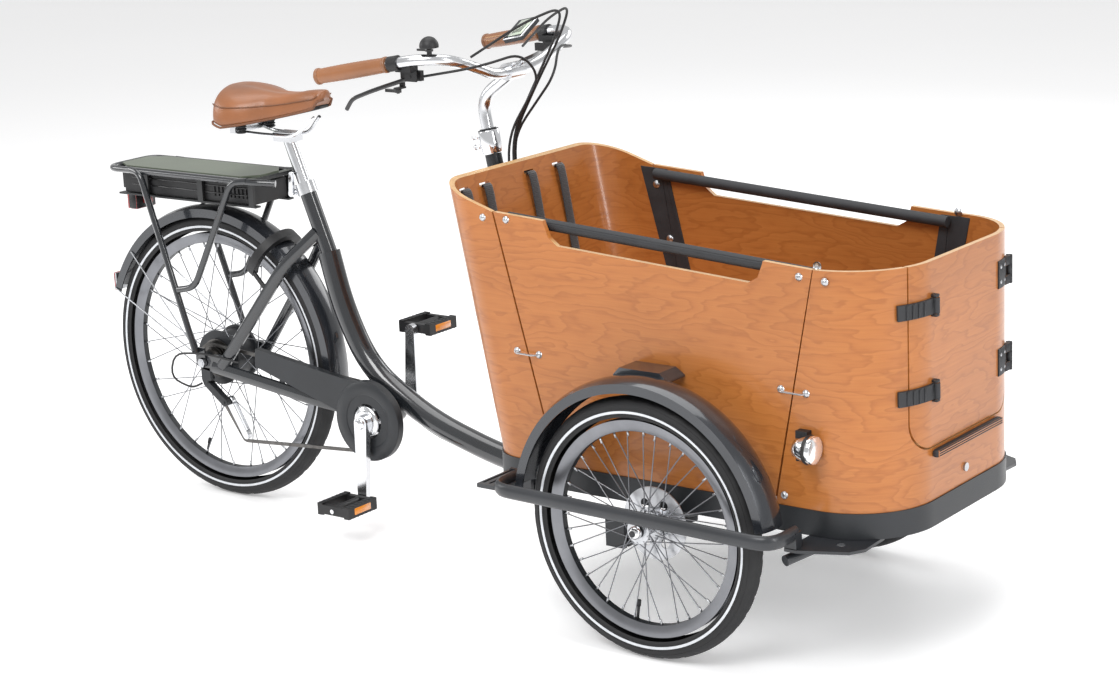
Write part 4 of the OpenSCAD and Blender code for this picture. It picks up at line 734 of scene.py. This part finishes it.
lamp = V((FAX + 0.300, -0.272 - 0.026, 0.430))
v, f = lathe([(0.010, -0.012), (0.0175, -0.008), (0.0215, 0.004), (0.0245, 0.014), (0.0262, 0.024),
        (0.0262, 0.031), (0.0245, 0.0315)],
             lamp, "x", 48)
piece("headlight_bowl", v, f, chrome, "front_unit")
v, f = lathe([(0.0246, 0.0312), (0.018, 0.0345), (0.009, 0.0362), (0.0005, 0.0366)], lamp, "x", 48)
piece("headlight_lens", v, f, clear, "front_unit")
v, f = lathe([(0.0258, -0.004), (0.0275, 0.000), (0.0258, 0.004)], lamp + V((0.019, 0, 0)), "x", 48)
piece("headlight_ring", v, f, black, "front_unit")

tl, th = boxes("tail_light")
v, f = brick((tl.x - 0.002, tl.y + 0.004, tl.z + 0.004), (tl.x + 0.004, th.y - 0.004, tl.z + 0.030),
        0.002)
piece("tail_light_lens", v, f, red_lens, "rear_frame")
v, f = brick((tl.x + 0.003, tl.y - 0.001, tl.z - 0.001), (tl.x + 0.029, th.y + 0.001,
        tl.z + 0.0345), 0.003)
piece("tail_light_body", v, f, black, "rear_frame")
ml, _ = boxes("mudguard_stays")
v, f = brick((ml.x, -0.0203, 0.4470), (ml.x + 0.0055, 0.0203, 0.4895), 0.0015)
piece("rear_reflector", v, f, red_lens, "rear_frame")

disp = V((FAX - 0.610, 0.128, 1.078))
R = Matrix.Rotation(math.radians(-12), 3, "Y") @ Matrix.Rotation(math.radians(25), 3, "X")
v, f = brick((-0.0255, -0.0375, 0.0015), (0.0255, 0.0375, 0.0055), 0.0016, R, disp)
piece("display_frame", v, f, silver, "handlebar")
v, f = brick((-0.014, -0.031, 0.0052), (0.022, 0.031, 0.0068), 0.0007, R, disp)
piece("display_screen_plate", v, f, screen, "handlebar")
bars = [brick((-0.008 + 0.005 * i, -0.022, 0.0068), (-0.0055 + 0.005 * i,
        -0.022 + 0.010 + 0.005 * i, 0.0071), 0.0001, R, disp) for i in range(5)]
v, f = merge(bars)
piece("display_bars", v, f, black, "handlebar")

for side in ("right", "left"):
    lo, hi = boxes("pedal_" + side)
    c = (lo + hi) / 2
    amb = []
    for x in (lo.x - 0.0008, hi.x - 0.0026):
        amb.append(brick((x, c.y - 0.026, c.z - 0.0075), (x + 0.0034, c.y + 0.026, c.z + 0.0075),
                0.001))
    v, f = merge(amb)
    piece("pedal_reflectors_" + side, v, f, amber, "pedal_" + side)
    ridges = []
    for z in (lo.z - 0.0012, hi.z - 0.0008):
        for x0 in (lo.x + 0.001, hi.x - 0.013):
            for i in range(7):
                y = lo.y + 0.006 + i * (hi.y - lo.y - 0.012) / 6
                ridges.append(brick((x0, y - 0.0022, z), (x0 + 0.012, y + 0.0022, z + 0.002),
                        0.0006))
    v, f = merge(ridges)
    piece("pedal_treads_" + side, v, f, rubber, "pedal_" + side)

cx = FAX - 0.925
parts = []
for s in (-1, 1):
    y = s * 0.092
    parts.append(lathe([(0.0125, y), (0.0125, y + s * 0.002), (0.009, y + s * 0.0045), (0.0005,
            y + s * 0.0055)], (cx, 0, 0.252), "y", 32))
v, f = merge(parts)
piece("crank_bolts", v, f, chrome, "crank")
v, f = lathe([(0.0335, -0.0702), (0.0335, -0.0725), (0.029, -0.0745), (0.024, -0.0752), (0.0238,
        -0.0775)], (cx, 0, 0.252), "y", 64)
piece("crank_cover", v, f, silver, "crank")
v, f = lathe([(0.0875, -0.0683), (0.0868, -0.0692), (0.060, -0.0698), (0.058, -0.0686)], (cx, 0,
        0.252), "y", 96)
piece("chain_guard_step", v, f, graphite, "rear_frame")

# column collar with its clamp studs
cl = math.radians(11.5)
cdir = V((-math.sin(cl), 0, math.cos(cl)))
foot = V((FAX - 0.480, 0, 0.268))
top = foot + cdir * 0.640
parts = [pipe([top - cdir * 0.052, top - cdir * 0.050, top - cdir * 0.006, top - cdir * 0.003],
        [0.0205, 0.0218, 0.0218, 0.0205], 40)]
for q in (0.018, 0.038):
    p = top - cdir * q
    parts.append(pipe([p + V((-0.020, -0.010, 0)), p + V((-0.031, -0.010, -0.002))], 0.0045, 14))
    parts.append(pipe([p + V((-0.031, -0.010, -0.002)), p + V((-0.034, -0.010, -0.0025))], 0.0062,
            14))
v, f = merge(parts)
piece("column_collar", v, f, chrome, "front_unit")


# front cables, which follow the stem above the column
def rounded(points, bend, steps=7):
    """A polyline with each corner rounded by a quadratic curve."""
    P = [V(p) for p in points]
    out = [P[0]]
    for i in range(1, len(P) - 1):
        back_, ahead = P[i - 1] - P[i], P[i + 1] - P[i]
        cut = min(bend, 0.49 * back_.length, 0.49 * ahead.length)
        a, b = P[i] + back_.normalized() * cut, P[i] + ahead.normalized() * cut
        for k in range(steps + 1):
            t = k / steps
            out.append(a * (1 - t) ** 2 + P[i] * 2 * t * (1 - t) + b * t * t)
    return out + [P[-1]]


parts = []
for s in (-1, 1):
    runs = [[(FAX - 0.586, s * 0.216, 1.032), (FAX - 0.498, s * 0.160, 1.046), (FAX - 0.466,
            s * 0.060, 1.062),
             (FAX - 0.450 + 0.006 * s, s * 0.016, 1.010), top + V((0.052, s * 0.009, -0.020)),
             top - cdir * 0.250 + V((0.027, s * 0.009, 0)),
             top - cdir * 0.480 + V((0.027, s * 0.009, 0))],
            [(FAX - 0.574, s * 0.084, 1.052), (FAX - 0.470, s * 0.040, 1.120), (FAX - 0.396,
            s * 0.012, 1.150),
             (FAX - 0.420, s * 0.008, 1.090), (FAX - 0.476, s * 0.004, 1.000),
             top + V((0.060, s * 0.0035, -0.016)),
             top - cdir * 0.250 + V((0.034, s * 0.0035, 0)),
             top - cdir * 0.480 + V((0.034, s * 0.0035, 0))]]
    parts += [pipe(rounded(r, 0.060), 0.0026, 12) for r in runs]
v, f = merge(parts)
cables = piece("front_cable_bundle", v, f, black, None)
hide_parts("front_cables")
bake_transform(cables)

# stem face plate bolts
parts = []
for s in (-1, 1):
    p = V((FAX - 0.536, s * 0.014, 1.016))
    parts.append(pipe([p + V((0.010, 0, 0.012)), p + V((0.0155, 0, 0.0165))], 0.0035, 12))
v, f = merge(parts)
piece("stem_bolts", v, f, steel, "stem")

# hinges, latches and rivets on the bent front panel: the bend's centre and radius, and the heights
HINGE_Z = (0.504, 0.670)
LATCH_Z = (0.514, 0.669)
BX, BY, BR = FAX + 0.466 - 0.150, 0.272 - 0.150, 0.150


def arc_plate(a0, a1, z0, z1, r0, r1, s, n=8):
    vs, fs = [], []
    for i in range(n + 1):
        a = math.radians(a0 + (a1 - a0) * i / n)
        for r, z in ((r0, z0), (r1, z0 + 0.001), (r1, z1 - 0.001), (r0, z1)):
            vs.append((BX + r * math.cos(a), s * (BY + r * math.sin(a)), z))
    for i in range(n):
        for k in range(4):
            k2 = (k + 1) % 4
            fs.append([4 * i + k, 4 * i + k2, 4 * i + 4 + k2, 4 * i + 4 + k])
    fs.append([0, 1, 2, 3])
    fs.append([4 * n + 3, 4 * n + 2, 4 * n + 1, 4 * n])
    return vs, fs


def rivet(a, z, s, r=0.0045, out=0.0028):
    a = math.radians(a)
    n = V((math.cos(a), s * math.sin(a), 0))
    p = V((BX, s * BY, z)) + n * (BR + out - 0.0015)
    return pipe([p, p + n * 0.0015, p + n * 0.0026], [r, r * 0.9, r * 0.35], 16)


panel_side, door_side, door_rivets, panel_rivets = [], [], [], []
for z in HINGE_Z:
    panel_side.append(arc_plate(31, 50, z - 0.017, z + 0.017, BR, BR + 0.003, 1))
    door_side.append(arc_plate(3, 22, z - 0.026, z + 0.026, BR, BR + 0.003, 1))
    for a in (37, 46):
        panel_rivets.append(rivet(a, z, 1))
    for a in (7, 16):
        door_rivets.append(rivet(a, z - 0.014, 1))
        door_rivets.append(rivet(a, z + 0.014, 1))
# knuckles and leaf edges of the hinges, and the posts of the latches
HX, HY = FAX + 0.458, 0.191
for z in HINGE_Z:
    panel_side.append(lathe([(0.0001, z - 0.0092), (0.0063, z - 0.0092), (0.0063, z + 0.0092),
            (0.0001, z + 0.0092)],
                            (HX, HY, 0), "z", 24))
    for k in (-0.018, 0.018):
        q = z + k
        door_side.append(lathe([(0.0001, q - 0.0087), (0.0063, q - 0.0087), (0.0063, q + 0.0087),
                (0.0001, q + 0.0087)],
                               (HX, HY, 0), "z", 24))
        door_side.append(brick((HX - 0.002, HY - 0.0213, q - 0.0088), (HX + 0.0044, HY - 0.001,
                q + 0.0088), 0.0008))
for z in LATCH_Z:
    for k in (-0.0203, 0.0147):
        door_side.append(brick((FAX + 0.4648, -0.1234, z + k), (FAX + 0.4775, -0.1126,
                z + k + 0.0056), 0.0008))
v, f = merge(panel_side)
piece("hinge_leaves", v, f, rubber, "front_unit")
v, f = merge(door_side)
piece("door_hinge_leaves", v, f, rubber, "door")
v, f = merge(panel_rivets)
piece("panel_rivets", v, f, steel, "front_unit")
v, f = merge(door_rivets)
piece("door_rivets", v, f, steel, "door")
for nm, z in (("upper", LATCH_Z[1]), ("lower", LATCH_Z[0])):
    parts = [arc_plate(a, a + 2.2, z - 0.0135, z + 0.0135, BR + 0.0065, BR + 0.0082, -1,
            2) for a in (10, 15, 20, 25)]
    v, f = merge(parts)
    piece("latch_ribs_" + nm, v, f, rubber, "latch_" + nm)

# dome bolts on the inner faces of the brackets over the seams
domes = []
for s in (-1, 1):
    for z in (0.345, 0.500, 0.640, 0.752):
        rear_x = FAX - 0.263 - 0.125 * (z - 0.310) / 0.482
        front_x = FAX + 0.229 + 0.088 * (z - 0.310) / 0.439
        for x in (rear_x, front_x):
            y = s * 0.2588
            domes.append(lathe([(0.0085, y), (0.0082, y - s * 0.0012), (0.0060, y - s * 0.0030),
                    (0.0004, y - s * 0.0040)],
                               (x, 0, z), "y", 24))
v, f = merge(domes)
piece("inner_bolts", v, f, steel, "front_unit")

# black step edge below the door, with its ridges
fl, fh = boxes("box_floor")
ridges = []
for i in range(3):
    z = 0.3935 + i * 0.0042
    ridges.append(brick((fh.x - 0.0012, -0.121, z), (fh.x + 0.0006, 0.121, z + 0.0022), 0.0004))
v, f = merge(ridges)
piece("door_step_ridges", v, f, rubber, "front_unit")
v, f = brick((fh.x - 0.0136, -0.1235, 0.3912), (fh.x - 0.0008, 0.1235, 0.4048), 0.002)
piece("door_step_strip", v, f, rubber, "front_unit")

# battery trim
bl, bh = boxes("battery")
trim = []
for s in (-1, 1):
    y = s * (bh.y + 0.0002)
    for z in (bl.z + 0.018, bh.z - 0.012):
        trim.append(brick((bl.x + 0.040, min(y, y + s * 0.0012), z), (bh.x - 0.020,
                max(y, y + s * 0.0012), z + 0.0025), 0.0004))
v, f = merge(trim)
piece("battery_trim", v, f, black_gloss, "battery")
v, f = lathe([(0.010, 0.0), (0.010, 0.0022), (0.0085, 0.003), (0.0006, 0.003)], (bl.x + 0.075, bh.y,
        bl.z + 0.040), "y", 24)
piece("battery_lock", v, f, chrome, "battery")
v, f = lathe([(0.010, 0.0), (0.010, -0.0022), (0.0085, -0.003), (0.0006, -0.003)], (bl.x + 0.075,
        bl.y, bl.z + 0.040), "y", 24)
piece("battery_cap", v, f, black_gloss, "battery")

# caps on the axle ends of the front hubs
for key in ("front_right", "front_left"):
    c, _, _, body = wheels[key]
    s = -1 if key == "front_right" else 1
    v, f = merge([lathe([(0.0125, s * 0.030), (0.0125, s * 0.036), (0.008, s * 0.041), (0.0005,
            s * 0.0425)], c, "y", 32)])
    piece(key + "_axle_cap", v, f, chrome, body)

# ---- floor and light -------------------------------------------------------------------------

me = bpy.data.meshes.new("floor")
me.from_pydata([(-14, -14, 0), (14, -14, 0), (14, 14, 0), (-14, 14, 0)], [], [(0, 1, 2, 3)])
floor_mat = Mat("floor_pale", (0.94, 0.94, 0.945), 0.6).vary(0.6, 0.01)
floor_mat.p.inputs["Emission Color"].default_value = (1, 1, 1, 1)
floor_mat.p.inputs["Emission Strength"].default_value = 0.22
me.materials.append(floor_mat.m)
floor = bpy.data.objects.new("floor", me)
bpy.context.collection.objects.link(floor)

world = bpy.data.worlds.new("studio")
world.use_nodes = True
world.node_tree.nodes["Background"].inputs["Color"].default_value = (1, 1, 1, 1)
world.node_tree.nodes["Background"].inputs["Strength"].default_value = 0.62
bpy.context.scene.world = world
bpy.context.scene.view_settings.view_transform = "Standard"


def area(name, at, target, size, power, shade=(1, 1, 1)):
    d = bpy.data.lights.new(name, "AREA")
    d.shape = "RECTANGLE"
    d.size, d.size_y = size
    d.energy = power
    d.color = shade
    o = bpy.data.objects.new(name, d)
    bpy.context.collection.objects.link(o)
    o.location = at
    o.rotation_euler = (V(target) - V(at)).to_track_quat("-Z", "Y").to_euler()


area("key", (1.0, -4.2, 4.6), (0, 0, 0.4), (3.2, 2.2), 190)
area("top", (-0.5, 0.5, 5.0), (0, 0, 0.4), (4.5, 3.5), 130)
area("front_strip", (5.0, -0.6, 2.2), (0.6, 0, 0.5), (0.7, 2.6), 70)
area("rear_fill", (-4.6, -2.0, 2.4), (-0.6, 0, 0.5), (2.0, 2.0), 50)
area("left_fill", (0.5, 4.8, 2.6), (0, 0, 0.5), (3.0, 2.0), 50)
